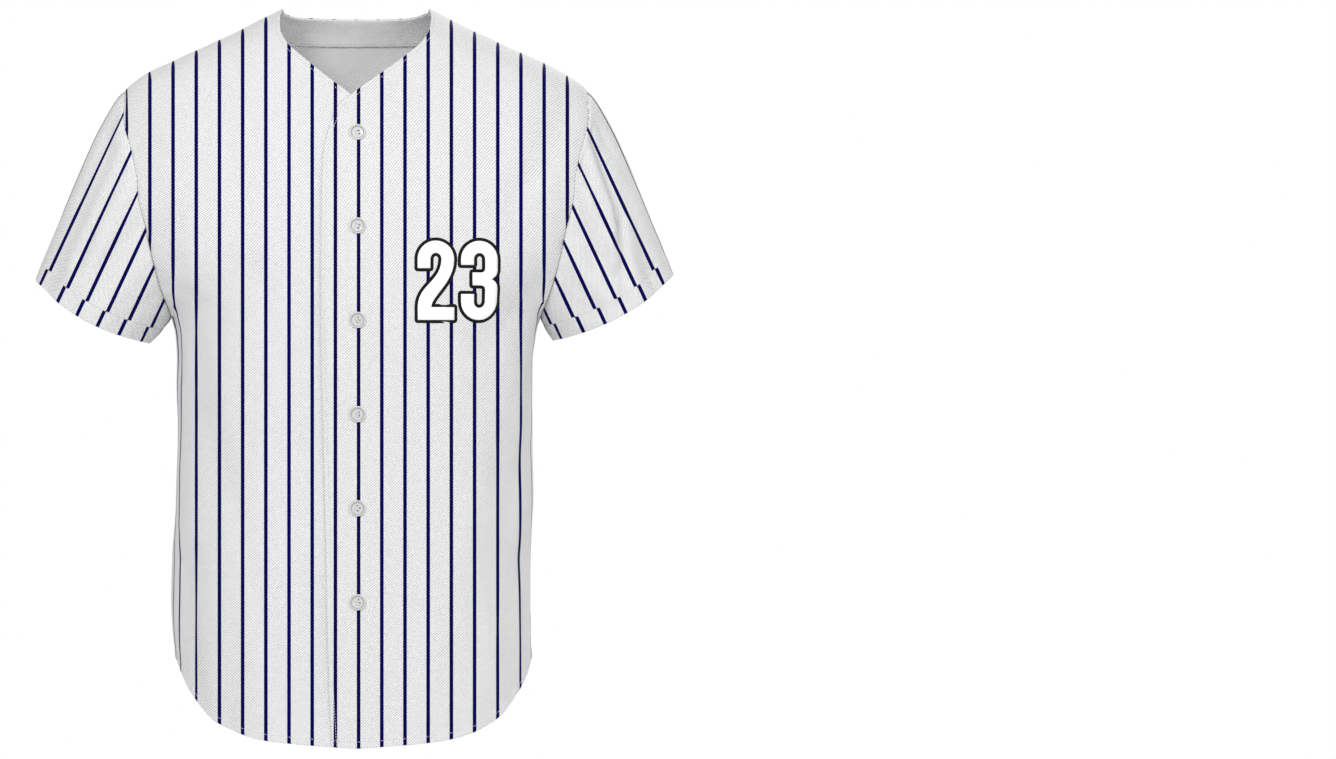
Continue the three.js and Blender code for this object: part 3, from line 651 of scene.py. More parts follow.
def edge_distance(points):
    """Distance of each point of a front from its neck and placket edge, which is its first column."""
    edge = points[:, 0]
    away = np.full(points.shape[:2], np.inf)
    for shift in range(-8, 9):
        rows = np.clip(np.arange(len(edge)) + shift, 0, len(edge) - 2)
        a = edge[rows][:, None]
        run = edge[rows + 1][:, None] - a
        share = ((points - a) * run).sum(-1) / np.maximum((run * run).sum(-1), 1e-9)
        nearest = a + np.clip(share, 0, 1)[..., None] * run
        away = np.minimum(away, np.linalg.norm(points - nearest, axis=-1))
    return away


def surface_out(face, points, up):
    """How far the folds, creases and waves move the plain body's points out, away from the seams."""
    x, z = points[..., 0], points[..., 2]
    return fold_height(face, x, z), crease_height(face, x, z) + loose_height(face, x, z, up)


def armhole_ring(side):
    """Armhole seam of one side as a closed ring: from the top down the front and up the back."""
    levels = armhole_levels()
    off_middle = np.radians(armhole_degrees(levels))
    theta = off_middle if side == LEFT else np.pi - off_middle
    down = section_point(FRONT, theta, levels)
    up = section_point(BACK, theta, levels)[1:-1][::-1]
    down[[0, -1], 1] = 0
    return np.concatenate([down, up])


def ring_shares(ring):
    """Share of the way round by the front: 0 at the top, 0.5 at the underarm and 1 at the top again."""
    steps = np.linalg.norm(np.roll(ring, -1, axis=0) - ring, axis=1)
    walked = np.concatenate([[0], np.cumsum(steps)])[:-1]
    front = steps[:ARMHOLE_STEPS].sum()
    back = steps[ARMHOLE_STEPS:].sum()
    first = np.arange(len(ring)) <= ARMHOLE_STEPS
    return np.where(first, walked / front / 2, 0.5 + (walked - front) / back / 2)


def sleeve_fold(folds, side, degrees, along, girth):
    height = np.zeros(np.shape(along))
    for fold in folds:
        if fold.side != side:
            continue
        share = np.clip((along - fold.along1) / (fold.along2 - fold.along1), 0, 1)
        line_along = fold.along1 + share * (fold.along2 - fold.along1)
        line_around = fold.around1 + share * (fold.around2 - fold.around1)
        overrun = np.abs(along - line_along) * SLEEVE_LENGTH
        turn = (degrees - line_around + 180) % 360 - 180
        away = np.hypot(turn * girth / 360, overrun) / fold.width
        height += fold.height * np.exp(-away * away)
    return height


def ring_normals(points, radial):
    """Normals of a tube of rings, from the points beside each one."""
    rows = np.arange(len(points))
    along = points[np.minimum(rows + 1, len(rows) - 1)] - points[np.maximum(rows - 1, 0)]
    around = np.roll(points, -1, axis=1) - np.roll(points, 1, axis=1)
    normal = unit(np.cross(along, around))
    inwards = (normal * radial).sum(-1, keepdims=True) < 0
    return np.where(inwards, -normal, normal)


def cuff_ring(cuff, shares):
    """The sleeve's opening as a ring, its middle and half its width."""
    outer = np.array([cuff.outer_x, -CUFF_FORWARD, cuff.outer_z], float)
    inner = np.array([cuff.inner_x, -CUFF_FORWARD, cuff.inner_z], float)
    middle, reach = (outer + inner) / 2, (outer - inner) / 2
    down = unit(np.cross([0, cuff.side, 0], reach))
    angle = shares[:, None] * 2 * np.pi
    forward = np.sin(angle)
    drop = np.where(forward > 0, CUFF_DROP_FRONT, CUFF_DROP_BACK) * forward**2
    opening = middle + reach * np.cos(angle) + down * drop
    opening[:, 1] -= CUFF_DEPTH / 2 * forward[:, 0]
    return opening, middle, reach


def sleeve_places(lengths):
    """How far along each column of a sleeve its rows lie, and how far above the hem's edge."""
    hem_fit = np.minimum(1, (lengths - 2) / (SLEEVE_HEM_ROWS[0] + 2))
    hem_up = np.array(SLEEVE_HEM_ROWS, float)[:, None] * hem_fit
    free = lengths - hem_up[0]
    start_fit = np.minimum(1, free / (2 * SLEEVE_ROWS[-1]))
    start = np.array(SLEEVE_ROWS, float)[:, None] * start_fit
    shares = (np.arange(1, SLEEVE_MIDDLE_ROWS + 1) / (SLEEVE_MIDDLE_ROWS + 1))[:, None]
    middle = start[-1] + shares * (free - start[-1])
    down = np.concatenate([start, middle, lengths - hem_up])
    return down / lengths, lengths - down


Cloth = namedtuple("Cloth", "outer wall thick across along roundness closed")


def sleeve_cloth(cuff, thickness):
    """One sleeve as rings of points, from the armhole to the hem's edge, and the armhole's cut edge."""
    ring = armhole_ring(cuff.side)
    shares = ring_shares(ring)
    opening, middle, reach = cuff_ring(cuff, shares)
    girth = 2 * (np.linalg.norm(reach) + CUFF_DEPTH / 2) * (np.pi / 2)
    start = ring.mean(axis=0)
    axis = unit(middle - start)
    lengths = np.linalg.norm(opening - ring, axis=1)
    along, up = sleeve_places(lengths)
    point = ring + along[..., None] * (opening - ring)
    centre = start + along[..., None] * (middle - start)
    radial = point - centre
    radial = unit(radial - (radial @ axis)[..., None] * axis)
    reach_share = lengths / lengths.max()
    bulge = SLEEVE_BULGE * np.sin(np.pi * along**SLEEVE_BULGE_SKEW) * reach_share
    point = point + bulge[..., None] * radial
    normal = ring_normals(point, radial)
    degrees = np.broadcast_to(shares * 360, along.shape)
    folds = sleeve_fold(SLEEVE_FOLDS, cuff.side, degrees, along, girth)
    creases = sleeve_fold(SLEEVE_CREASES, cuff.side, degrees, along, girth)
    creases += 0.6 * wave_height(WAVES, degrees * girth / 360, along * SLEEVE_LENGTH * 1.7)
    from_seam = along * lengths
    out = smoothstep(0, SLEEVE_FOLD_FADE, along) * reach_share * folds
    out += smoothstep(0, SLEEVE_CREASE_FADE, along) * np.sqrt(reach_share) * creases
    out += hem_raise(up, SLEEVE_HEM) + stitch_sink(up - SLEEVE_HEM + 1)
    out -= SEAM_ROLL_DEPTH * np.exp(-((from_seam / SEAM_ROLL_WIDTH) ** 2))
    around = degrees * girth / 360
    pucker = wave_height(PUCKERS, around, from_seam * 0) * PUCKER_HEIGHT
    out += pucker * smoothstep(0, 2, from_seam) * np.exp(-((from_seam / PUCKER_REACH) ** 2))
    hem_pucker = wave_height(PUCKERS, around + 40, from_seam * 0) * PUCKER_HEIGHT
    out += hem_pucker * np.exp(-(((up - SLEEVE_HEM + 1) / 6) ** 2))
    wall, across_seam = armhole_cut(cuff, point, normal)
    outer = point + out[..., None] * normal
    outer[0] = point[0] - SEAM_ROLL_DEPTH * wall + across_seam * (SEAM_GAP / 2)
    turn = smoothstep(0, WALL_TURN, from_seam)[..., None]
    walls = wall[None] * (1 - turn) + normal * turn
    thick = thickness + 2 * hem_raise(up, SLEEVE_HEM)
    across = sleeve_stripes(cuff, outer, cuff_jog(up))
    roundness = np.zeros(along.shape)
    roundness[0] = SEAM_ROUNDNESS
    roundness[-1] = 1
    cloth = Cloth(outer, walls, thick, across, from_seam, roundness, True)
    return cloth, {"wall": wall, "across": across_seam, "ring": point[0]}


def cuff_jog(up):
    """The stripes of the turned-up hem lie a little further out than those above it."""
    return HEM_JOG * (1 - smoothstep(SLEEVE_HEM - 1.2, SLEEVE_HEM - 0.8, up))


def armhole_cut(cuff, point, normal):
    """Where panel and sleeve meet: the shared direction of the cut edge, and the way across the seam."""
    ring = point[0]
    front = np.arange(len(ring)) <= ARMHOLE_STEPS
    body = np.where(front[:, None], body_normal(FRONT, ring), body_normal(BACK, ring))
    sleeve = normal[0].copy()
    for i in (0, ARMHOLE_STEPS):
        body[i] = middle_seam_normal(cuff.side, ring[i, 2])
        sleeve[i, 1] = 0
    sleeve = unit(sleeve)
    total = body + sleeve
    mitre = np.minimum(MITRE_LIMIT, 2 / np.linalg.norm(total, axis=1))
    wall = unit(total)
    tangent = np.roll(ring, -1, axis=0) - np.roll(ring, 1, axis=0)
    across = unit(np.cross(tangent, wall))
    back_way = (across * (point[1] - ring)).sum(-1, keepdims=True) < 0
    return wall * mitre[:, None], np.where(back_way, -across, across)


def seen(face, points):
    """Places as seen from in front of a face, at the scale of the body's middle."""
    scale = (VIEW_DISTANCE - STRIPE_DEPTH) / (VIEW_DISTANCE - face * points[..., 1])
    return points[..., 0] * scale, (points[..., 2] - VIEW_Z) * scale


def from_underarm(ring_values):
    """Values round a sleeve, from the underarm up the back and down the front to the underarm again."""
    rolled = np.roll(ring_values, -ARMHOLE_STEPS, axis=1)
    return np.concatenate([rolled, rolled[:, :1]], axis=1)


def outward(cuff, face, points):
    """Distance towards the sleeve's outer edge, square to its stripes, as seen from in front of a face."""
    turn = math.radians(SLEEVE_STRIPE_DEGREES)
    x, z = seen(face, points)
    return cuff.side * x * math.cos(turn) + z * math.sin(turn)


def sleeve_stripes(cuff, points, jog):
    """Distance from a stripe, counted round the sleeve from the underarm by way of the back.

    It is the place seen from each face's own side, and follows the cloth round the outer edge and the
    underarm.
    """
    ring = from_underarm(points)
    jog = from_underarm(jog)
    top = points.shape[1] - ARMHOLE_STEPS
    back = outward(cuff, BACK, ring[:, : top + 1]) - cuff.back_stripe
    front = outward(cuff, FRONT, ring[:, top:]) - cuff.front_stripe
    steps = np.linalg.norm(np.diff(ring, axis=1), axis=-1)
    length = np.concatenate([np.zeros((len(ring), 1)), np.cumsum(steps, axis=1)], axis=1)
    ends = [
        (*plane_ends(back[r], length[r, : top + 1]), *plane_ends(front[r, ::-1], length[r, : top - 1 : -1]))
        for r in range(len(ring))
    ]
    middle = ends[len(ends) // 2]
    whole = middle[2] + middle[6] + abs(middle[7] - middle[3])
    whole = STRIPE_STEP * round(whole / STRIPE_STEP)
    across = np.zeros(length.shape)
    for r, (back_low, back_low_at, back_high, back_high_at, *rest) in enumerate(ends):
        front_low, front_low_at, front_high, front_high_at = rest
        at = length[r]
        row = np.concatenate([whole - back[r] + jog[r, : top + 1], front[r, 1:] - jog[r, top + 1 :]])
        top_strip = [whole - back_high + jog[r, top], front_high - jog[r, top]]
        over = (at > back_high_at) & (at < front_high_at)
        row[over] = np.interp(at[over], [back_high_at, front_high_at], top_strip)
        first = at < back_low_at
        row[first] = whole - back_low + (back_low_at - at[first]) + jog[r, 0]
        last = at > front_low_at
        row[last] = front_low - (at[last] - front_low_at) - jog[r, -1]
        across[r] = row
    return across


def plane_ends(flat, length):
    """Flat coordinate and length where a face turns away from the view, at its low and high end."""
    rising = np.maximum.accumulate(flat)
    rising = rising + np.arange(len(rising)) * 1e-9
    middle, reach = (rising[0] + rising[-1]) / 2, (rising[-1] - rising[0]) / 2
    low, high = middle - PLANE_SHARE * reach, middle + PLANE_SHARE * reach
    return low, float(np.interp(low, rising, length)), high, float(np.interp(high, rising, length))


def body_stripes(face, points, outer, normal, rows_z):
    """Distance from a stripe of a body panel.

    It is the place seen from the panel's side, and past that the way along the cloth. Folds shift a stripe
    only where the cloth faces the view.
    """
    x = points[..., 0]
    faces_view = smoothstep(*FACING_SHARES, np.abs(normal[..., 1]))
    across, _ = seen(face, points + faces_view[..., None] * (outer - points))
    for r in range(len(points)):
        if rows_z[r] > PLANE_BELOW_Z:
            continue
        limit = PLANE_SHARE * float(half(rows_z[r]))
        steps = np.linalg.norm(np.diff(points[r], axis=0), axis=1)
        length = np.concatenate([[0], np.cumsum(steps)])
        for sign in (LEFT, RIGHT):
            beyond = sign * x[r] > limit
            if not beyond.any() or beyond.all():
                continue
            order = np.argsort(sign * x[r])
            edge = np.interp(limit, sign * x[r, order], length[order])
            edge_across = np.interp(limit, sign * x[r, order], across[r, order])
            across[r, beyond] = edge_across + sign * np.abs(length[beyond] - edge)
    return across - (FRONT_STRIPE_X if face == FRONT else BACK_STRIPE_X)


def stripe_shares(points, across):
    """Share of its full width that a stripe takes up in the stripe coordinate, where the cloth turns away."""
    run = np.linalg.norm(np.gradient(points, axis=1), axis=-1)
    rate = np.abs(np.gradient(across, axis=1)) / np.maximum(run, 1e-6)
    return np.clip(STRIPE_SPREAD * rate, NARROWEST_STRIPE, 1)


def panel_cloth(face, side, seams, thickness, levels=None):
    """A front (face FRONT and a side) or the back as rows of points on its levels."""
    levels = levels or panel_levels(face)
    start_columns = EDGE_COLUMNS if face == FRONT else SEAM_COLUMNS
    middle_columns = FRONT_MIDDLE_COLUMNS if face == FRONT else BACK_MIDDLE_COLUMNS

    def places(total):
        return column_places(total, start_columns, SEAM_COLUMNS, middle_columns)

    rows = []
    for level in levels:
        start = outer_angle(level, RIGHT)
        if face == FRONT:
            edge = float(placket_middle(level.centre) + side * front_edge(level.centre))
            start = float(angle_at(edge, level.centre))
        end_side = side if face == FRONT else LEFT
        rows.append(level_row(face, level, start, outer_angle(level, end_side), places))
    points = np.array(rows)
    up = np.array([level.up for level in levels], float)[:, None] + np.zeros(points.shape[:2])
    normal = body_normal(face, points)
    seam_columns = [-1] if face == FRONT else [0, -1]
    to_seam = np.min([np.linalg.norm(points - points[:, c][:, None], axis=-1) for c in seam_columns], axis=0)
    large, fine = surface_out(face, points, up)
    near_middle = np.abs(points[..., 1])
    out = smoothstep(0, SEAM_FADE, to_seam) * smoothstep(0, SEAM_FADE, near_middle) * large
    out += smoothstep(0, CREASE_FADE, to_seam) * smoothstep(0, CREASE_FADE, near_middle) * fine
    out += layer_raise(side, points) if face == FRONT else 0
    out += hem_raise(up, BODY_HEM) + stitch_sink(up - BODY_HEM + 1)
    out -= SEAM_ROLL_DEPTH * np.exp(-((to_seam / SEAM_ROLL_WIDTH) ** 2))
    pucker = wave_height(PUCKERS, points[..., 2], points[..., 2] * 0) * PUCKER_HEIGHT
    out += pucker * smoothstep(0, 2, to_seam) * np.exp(-((to_seam / PUCKER_REACH) ** 2))
    hem_pucker = wave_height(PUCKERS, points[..., 0], points[..., 0] * 0) * PUCKER_HEIGHT
    out += hem_pucker * np.exp(-(((up - BODY_HEM + 1) / 5) ** 2))
    if face == FRONT:
        out += stitch_sink(edge_distance(points) - NECK_STITCH)
    else:
        below_neck = np.linalg.norm(points - points[:1], axis=-1)
        out += stitch_sink(below_neck - NECK_STITCH)
    outer = points + out[..., None] * normal
    walls = normal.copy()
    for column in seam_columns:
        edge_side = LEFT if column == -1 and (face == BACK or side == LEFT) else RIGHT
        turn_walls(walls, outer, points, levels, column, face, edge_side, seams)
    if face == FRONT:
        narrow = np.linalg.norm(points[:, 0] - points[:, -1], axis=-1) < SEAM_GAP
        outer[narrow] = outer[narrow, -1:]
        walls[narrow] = walls[narrow, -1:]
    roundness = np.ones(points.shape[:2])
    roundness[:, seam_columns] = SEAM_ROUNDNESS
    thick = thickness + 2 * hem_raise(up, BODY_HEM)
    across = body_stripes(face, points, outer, normal, [level.side for level in levels])
    on_shoulder = smoothstep(SHOULDER_FROM_Z, 0, points[..., 2])
    along = DEPTH_SHARE * on_shoulder * np.abs(points[..., 1]) - points[..., 2]
    return Cloth(outer, walls, thick, across, along, roundness, False)


def turn_walls(walls, outer, points, levels, column, face, side, seams):
    """Sets the cut edge of a seam column, and turns the walls beside it towards it."""
    first_armhole = next((i for i, level in enumerate(levels) if level.zone == "armhole"), 0)
    cut = np.zeros((len(levels), 3))
    for r, level in enumerate(levels):
        plain = points[r, column]
        if level.zone == "armhole":
            seam = seams[side]
            index = r - first_armhole
            count = len(seam["ring"])
            index = index if face == FRONT else (count - index) % count
            cut[r] = seam["wall"][index]
            edge = plain - SEAM_ROLL_DEPTH * cut[r] - seam["across"][index] * (SEAM_GAP / 2)
        else:
            cut[r] = middle_seam_normal(side, level.side)
            raised = hem_raise(level.up, BODY_HEM) - SEAM_ROLL_DEPTH
            edge = plain + raised * cut[r]
        if abs(plain[1]) < SEAM_GAP:
            edge[1] = face * SEAM_GAP / 2
        outer[r, column] = edge
    away = np.linalg.norm(points - points[:, column][:, None], axis=-1)
    turn = smoothstep(0, WALL_TURN, away)[..., None]
    walls *= turn
    walls += (1 - turn) * cut[:, None]


def boundary(rows, columns):
    """Index pairs round an open grid."""
    top = [(0, c) for c in range(columns)]
    right = [(r, columns - 1) for r in range(1, rows)]
    bottom = [(rows - 1, c) for c in range(columns - 2, -1, -1)]
    left = [(r, 0) for r in range(rows - 2, 0, -1)]
    return np.array(top + right + bottom + left)


def grid_faces(index, closed):
    """Quads of a grid of vertex numbers."""
    if closed:
        index = np.concatenate([index, index[:, :1]], axis=1)
    a, b = index[:-1, :-1], index[1:, :-1]
    c, d = index[1:, 1:], index[:-1, 1:]
    return np.stack([a, b, c, d], axis=-1).reshape(-1, 4)


def cloth_arrays(cloth):
    """Vertices, quads and per-vertex values of a closed wall with rounded edges.

    A sleeve's rings start and end at the underarm, where its stripes don't meet.
    """
    grids = [cloth.outer, cloth.wall, cloth.thick, cloth.along, cloth.roundness]
    if cloth.closed:
        grids = [from_underarm(grid) for grid in grids]
    outer, wall, thick, along, roundness = grids
    rows, columns = outer.shape[:2]
    inner = outer - wall * thick[..., None]
    shares = stripe_shares(outer, cloth.across)
    values = {"across": cloth.across, "along": along, "share": shares}
    count = rows * columns
    index = np.arange(count).reshape(rows, columns)
    faces = [grid_faces(index, False), grid_faces(index + count, False)[:, ::-1]]
    points = [outer.reshape(-1, 3), inner.reshape(-1, 3)]
    spread = {key: [value.ravel(), value.ravel()] for key, value in values.items()}
    spread["inside"] = [np.zeros(count), np.ones(count)]
    loops = [boundary(rows, columns)]
    if cloth.closed:
        loops = [np.array([(r, c) for c in range(columns)]) for r in (rows - 1, 0)]
    total = 2 * count
    for loop in loops:
        r, c = loop[:, 0], loop[:, 1]
        near_r = np.clip(r, 1, rows - 2)
        near_c = c if cloth.closed else np.clip(c, 1, columns - 2)
        out_way = unit(outer[r, c] - outer[near_r, near_c])
        middle = (outer[r, c] + inner[r, c]) / 2
        lift = (outer[r, c] - inner[r, c]) / 2
        bulge = out_way * (np.linalg.norm(lift, axis=1) * roundness[r, c])[:, None]
        rings = [index[r, c]]
        for step in range(1, RIM_STEPS):
            angle = np.pi * step / RIM_STEPS
            points.append(middle + math.cos(angle) * lift + math.sin(angle) * bulge)
            for key, value in values.items():
                spread[key].append(value[r, c])
            spread["inside"].append(np.zeros(len(loop)))
            rings.append(np.arange(total, total + len(loop)))
            total += len(loop)
        rings.append(index[r, c] + count)
        rim = grid_faces(np.array(rings), not cloth.closed)
        faces.append(rim if cloth.closed and r[0] == rows - 1 else rim[:, ::-1])
    joined = {key: np.concatenate(value) for key, value in spread.items()}
    return np.concatenate(points), np.concatenate(faces), joined


def signed_volume(points, faces):
    a, b, c, d = (points[faces[:, k]] for k in range(4))
    return float((a * np.cross(b, c)).sum() + (a * np.cross(c, d)).sum()) / 6


def mesh_object(name, points, faces, values, cloth_map):
    """A mesh object at the origin, from points in millimetres, with its values as attributes and a UV map."""
    mesh = bpy.data.meshes.new(name)
    mesh.from_pydata((points * MM).tolist(), [], faces.tolist())
    for key, value in values.items():
        attribute = mesh.attributes.new(key, "FLOAT", "POINT")
        attribute.data.foreach_set("value", np.asarray(value, np.float32))
    layer = mesh.uv_layers.new(name="cloth")
    corners = np.zeros(len(mesh.loops), np.int32)
    mesh.loops.foreach_get("vertex_index", corners)
    layer.data.foreach_set("uv", (cloth_map[corners] * MM).astype(np.float32).ravel())
    work = bmesh.new()
    work.from_mesh(mesh)
    bmesh.ops.remove_doubles(work, verts=work.verts, dist=SAME_POINT)
    flat = [f for f in work.faces if f.calc_area() < SMALLEST_FACE]
    bmesh.ops.delete(work, geom=flat, context="FACES_ONLY")
    for face in work.faces:
        face.smooth = True
    work.to_mesh(mesh)
    work.free()
    made = bpy.data.objects.new(name, mesh)
    bpy.context.scene.collection.objects.link(made)
    return made


def cloth_object(name, cloth, material):
    points, faces, values = cloth_arrays(cloth)
    if signed_volume(points, faces) < 0:
        faces = faces[:, ::-1]
    cloth_map = np.stack([values.pop("across"), values.pop("along")], axis=1)
    made = mesh_object(name, points, faces, values, cloth_map)
    made.data.materials.append(material)
    return made


def settings():
    return bpy.context.scene.jersey


def deselect_all():
    if bpy.context.object and bpy.context.object.mode != "OBJECT":
        bpy.ops.object.mode_set(mode="OBJECT")
    bpy.ops.object.select_all(action="DESELECT")


def seam_cuts():
    """The cut edges that the sleeves and panels share, by side."""
    return {cuff.side: sleeve_cloth(cuff, 1)[1] for cuff in CUFFS}


def walk(points, step):
    """Places at even steps along a line of points, and the way on at each."""
    steps = np.linalg.norm(np.diff(points, axis=0), axis=1)
    length = np.concatenate([[0], np.cumsum(steps)])
    count = max(int(length[-1] / step), 1)
    at = (np.arange(count) + 0.5) * length[-1] / count
    places = np.stack([np.interp(at, length, points[:, k]) for k in range(3)], axis=1)
    ahead = np.stack([np.interp(at + step / 4, length, points[:, k]) for k in range(3)], axis=1)
    behind = np.stack([np.interp(at - step / 4, length, points[:, k]) for k in range(3)], axis=1)
    return places, unit(ahead - behind), at, length


# Shader parts
class Value:
    """A shader socket that can be used in sums: each operator adds one Math node."""

    def __init__(self, finish, socket):
        self.finish = finish
        self.socket = socket

    def maths(self, operation, *others):
        return self.finish.node("ShaderNodeMath", {"operation": operation}, dict(enumerate([self, *others])))

    def __add__(self, other):
        return self.maths("ADD", other)

    def __radd__(self, other):
        return self.maths("ADD", other)

    def __mul__(self, other):
        return self.maths("MULTIPLY", other)

    def __rmul__(self, other):
        return self.maths("MULTIPLY", other)

    def __sub__(self, other):
        return self.maths("SUBTRACT", other)

    def __rsub__(self, other):
        return (self * -1).maths("ADD", other)

    def __truediv__(self, other):
        return self.maths("DIVIDE", other)

    def sine(self):
        return self.maths("SINE")

    def fraction(self):
        return self.maths("FRACT")

    def size(self):
        return self.maths("ABSOLUTE")

    def clamped(self):
        return self.finish.node("ShaderNodeClamp", {}, {0: self})


class Finish:
    """One procedural material, built from a principled shader."""

    def __init__(self, name, sheen=0.0, coat=0.0, specular=0.5):
        self.material = bpy.data.materials.new(name)
        self.material.use_nodes = True
        self.tree = self.material.node_tree
        self.shader = self.tree.nodes["Principled BSDF"]
        self.shader.inputs["Sheen Weight"].default_value = sheen
        self.shader.inputs["Coat Weight"].default_value = coat
        self.shader.inputs["Specular IOR Level"].default_value = specular

    def node(self, kind, options=None, inputs=None, output=0):
        """Adds a node with its options set first, then the values or links of its sockets."""
        made = self.tree.nodes.new(kind)
        for key, value in (options or {}).items():
            setattr(made, key, value)
        for key, value in (inputs or {}).items():
            self.feed(made.inputs[key], value)
        return Value(self, made.outputs[output])

    def feed(self, socket, value):
        if isinstance(value, Value):
            self.tree.links.new(value.socket, socket)
        else:
            socket.default_value = value

    def mix(self, share, first, second):
        return self.node("ShaderNodeMix", {"data_type": "RGBA"}, {0: share, 6: first, 7: second}, 2)

    def attribute(self, name):
        return self.node("ShaderNodeAttribute", {"attribute_name": name}, {}, 2)

    def place(self, scale):
        """Object coordinates, stretched by a scale."""
        at = self.node("ShaderNodeTexCoord", {}, {}, 3)
        return self.node("ShaderNodeMapping", {}, {0: at, 3: scale})

    def noise(self, scale, detail=2.0, stretch=(1, 1, 1)):
        inputs = {"Vector": self.place(stretch), "Scale": scale, "Detail": detail}
        return self.node("ShaderNodeTexNoise", {}, inputs)

    def cloth_place(self):
        """Across and along the cloth, in metres."""
        at = self.node("ShaderNodeUVMap", {"uv_map": "cloth"})
        across = self.node("ShaderNodeSeparateXYZ", {}, {0: at}, 0)
        along = self.node("ShaderNodeSeparateXYZ", {}, {0: at}, 1)
        return across, along

    def bump(self, height, distance, strength=1.0, under=None):
        inputs = {"Height": height, "Distance": distance, "Strength": strength}
        if under is not None:
            inputs["Normal"] = under
        return self.node("ShaderNodeBump", {}, inputs)

    def finished(self, colour, roughness, normal=None):
        self.feed(self.shader.inputs["Base Color"], colour)
        self.feed(self.shader.inputs["Roughness"], roughness)
        if normal is not None:
            self.feed(self.shader.inputs["Normal"], normal)
        return self.material


def rgba(colour):
    return (*colour, 1.0)


def knit(finish, pitch):
    """Height of a fine mesh knit: loops on the bias, crossed by finer ones."""
    across, along = finish.cloth_place()
    turn = 2 * math.pi / pitch
    rising = ((across + along) * turn).sine()
    falling = ((across * 0.9 - along * 1.7) * turn).sine()
    uneven = finish.noise(1100.0, 1.0) - 0.5
    return rising * 0.5 + falling * 0.5 + uneven * 1.6


def jersey_material():
    """White mesh knit with pinstripes on its outside and painted shade in its small holes; the stripes don't
    show through on the inside.
    """
    look = settings().cloth
    finish = Finish("striped_knit", sheen=look.sheen, specular=look.specular)
    across, _ = finish.cloth_place()
    inside = finish.attribute("inside")
    width = finish.attribute("share") * (look.stripe_width / 2)
    loops = knit(finish, look.knit_pitch)
    wander = (finish.noise(900.0) - 0.5) * look.stripe_wander
    turned = (across + wander) / look.stripe_pitch
    from_stripe = ((turned + 0.5).fraction() - 0.5).size() * look.stripe_pitch
    edge = look.stripe_edge
    stripe = ((width + edge / 2 - from_stripe) / edge).clamped() * (1 - inside)
    tone = finish.noise(14.0, 3.0, (1, 1, 0.4))
    white = finish.mix(tone, rgba(look.cloth_low), rgba(look.cloth_colour))
    # The knit's small holes are darkened with painted shade: the cloth has no real holes.
    holes = (loops * -0.7 + 0.3).clamped() * look.hole_shade_strength
    cloth = finish.mix(holes, white, rgba(look.hole_painted_shade))
    striped = finish.mix(stripe, cloth, rgba(look.stripe_colour))
    colour = finish.mix(inside, striped, rgba(look.inside_colour))
    soft = finish.noise(38.0, 4.0, (1, 1, 0.35))
    normal = finish.bump(soft, look.rumple_height)
    normal = finish.bump(loops, look.knit_height, 1.0, normal)
    return finish.finished(colour, loops * 0.04 + look.roughness, normal)


def facing_material():
    look = settings().cloth
    finish = Finish("neck_facing_knit", sheen=look.sheen, specular=look.specular)
    loops = knit(finish, look.knit_pitch)
    tone = finish.noise(60.0)
    colour = finish.mix(tone, rgba(look.facing_low), rgba(look.inside_colour))
    soft = finish.bump(finish.noise(70.0, 3.0), look.rumple_height)
    roughness = loops * 0.04 + look.roughness
    return finish.finished(colour, roughness, finish.bump(loops, look.knit_height, 1.0, soft))


def thread_material():
    look = settings().stitches
    finish = Finish("sewing_thread", sheen=0.1, specular=0.4)
    ply = finish.noise(2600.0, 2.0)
    colour = finish.mix(ply, rgba(look.thread_low), rgba(look.thread_colour))
    return finish.finished(colour, ply * 0.2 + 0.45, finish.bump(ply, look.thread_diameter * 0.3))


def button_material():
    look = settings().buttons
    finish = Finish("pearl_button", coat=look.coat, specular=0.4)
    deep = finish.attribute("deep")
    inputs = {"Vector": finish.place((1, 1, 1)), "Scale": 170.0, "Distortion": 2.5}
    swirl = finish.node("ShaderNodeTexNoise", {}, inputs)
    pearl = finish.mix(swirl, rgba(look.pearl_low), rgba(look.pearl_colour))
    # Painted shade: a dark ring at the foot of the rim, inside the dish.
    colour = finish.mix(deep, pearl, rgba(look.dish_foot_painted_shade))
    fine = finish.noise(1400.0)
    return finish.finished(colour, fine * 0.16 + look.roughness, finish.bump(fine, 0.00004))


def print_material(name, colour, worn):
    """Smooth heat-pressed film that the knit shows through a little."""
    look = settings().numerals
    finish = Finish(name, specular=0.15)
    grain = finish.noise(1500.0, 2.0)
    press = finish.noise(120.0, 3.0)
    tone = finish.mix(press, rgba(worn), rgba(colour))
    return finish.finished(tone, grain * 0.15 + look.roughness, finish.bump(grain, 0.00005))


def floor_material():
    look = settings().stage
    finish = Finish("pale_floor", specular=0.2)
    tone = finish.noise(3.0)
    colour = finish.mix(tone, rgba(look.floor_low), rgba(look.floor_colour))
    return finish.finished(colour, tone * 0.1 + 0.8)


# Settings
def length(name, description, default):
    return bpy.props.FloatProperty(
        name=name, description=description, default=default, unit="LENGTH", precision=5
    )


def amount(name, description, default):
    return bpy.props.FloatProperty(name=name, description=description, default=default)


def share(name, description, default):
    return bpy.props.FloatProperty(name=name, description=description, default=default, subtype="FACTOR")


def colour(name, description, default):
    return bpy.props.FloatVectorProperty(
        name=name, description=description, default=default, subtype="COLOR", size=3, min=0, max=1
    )


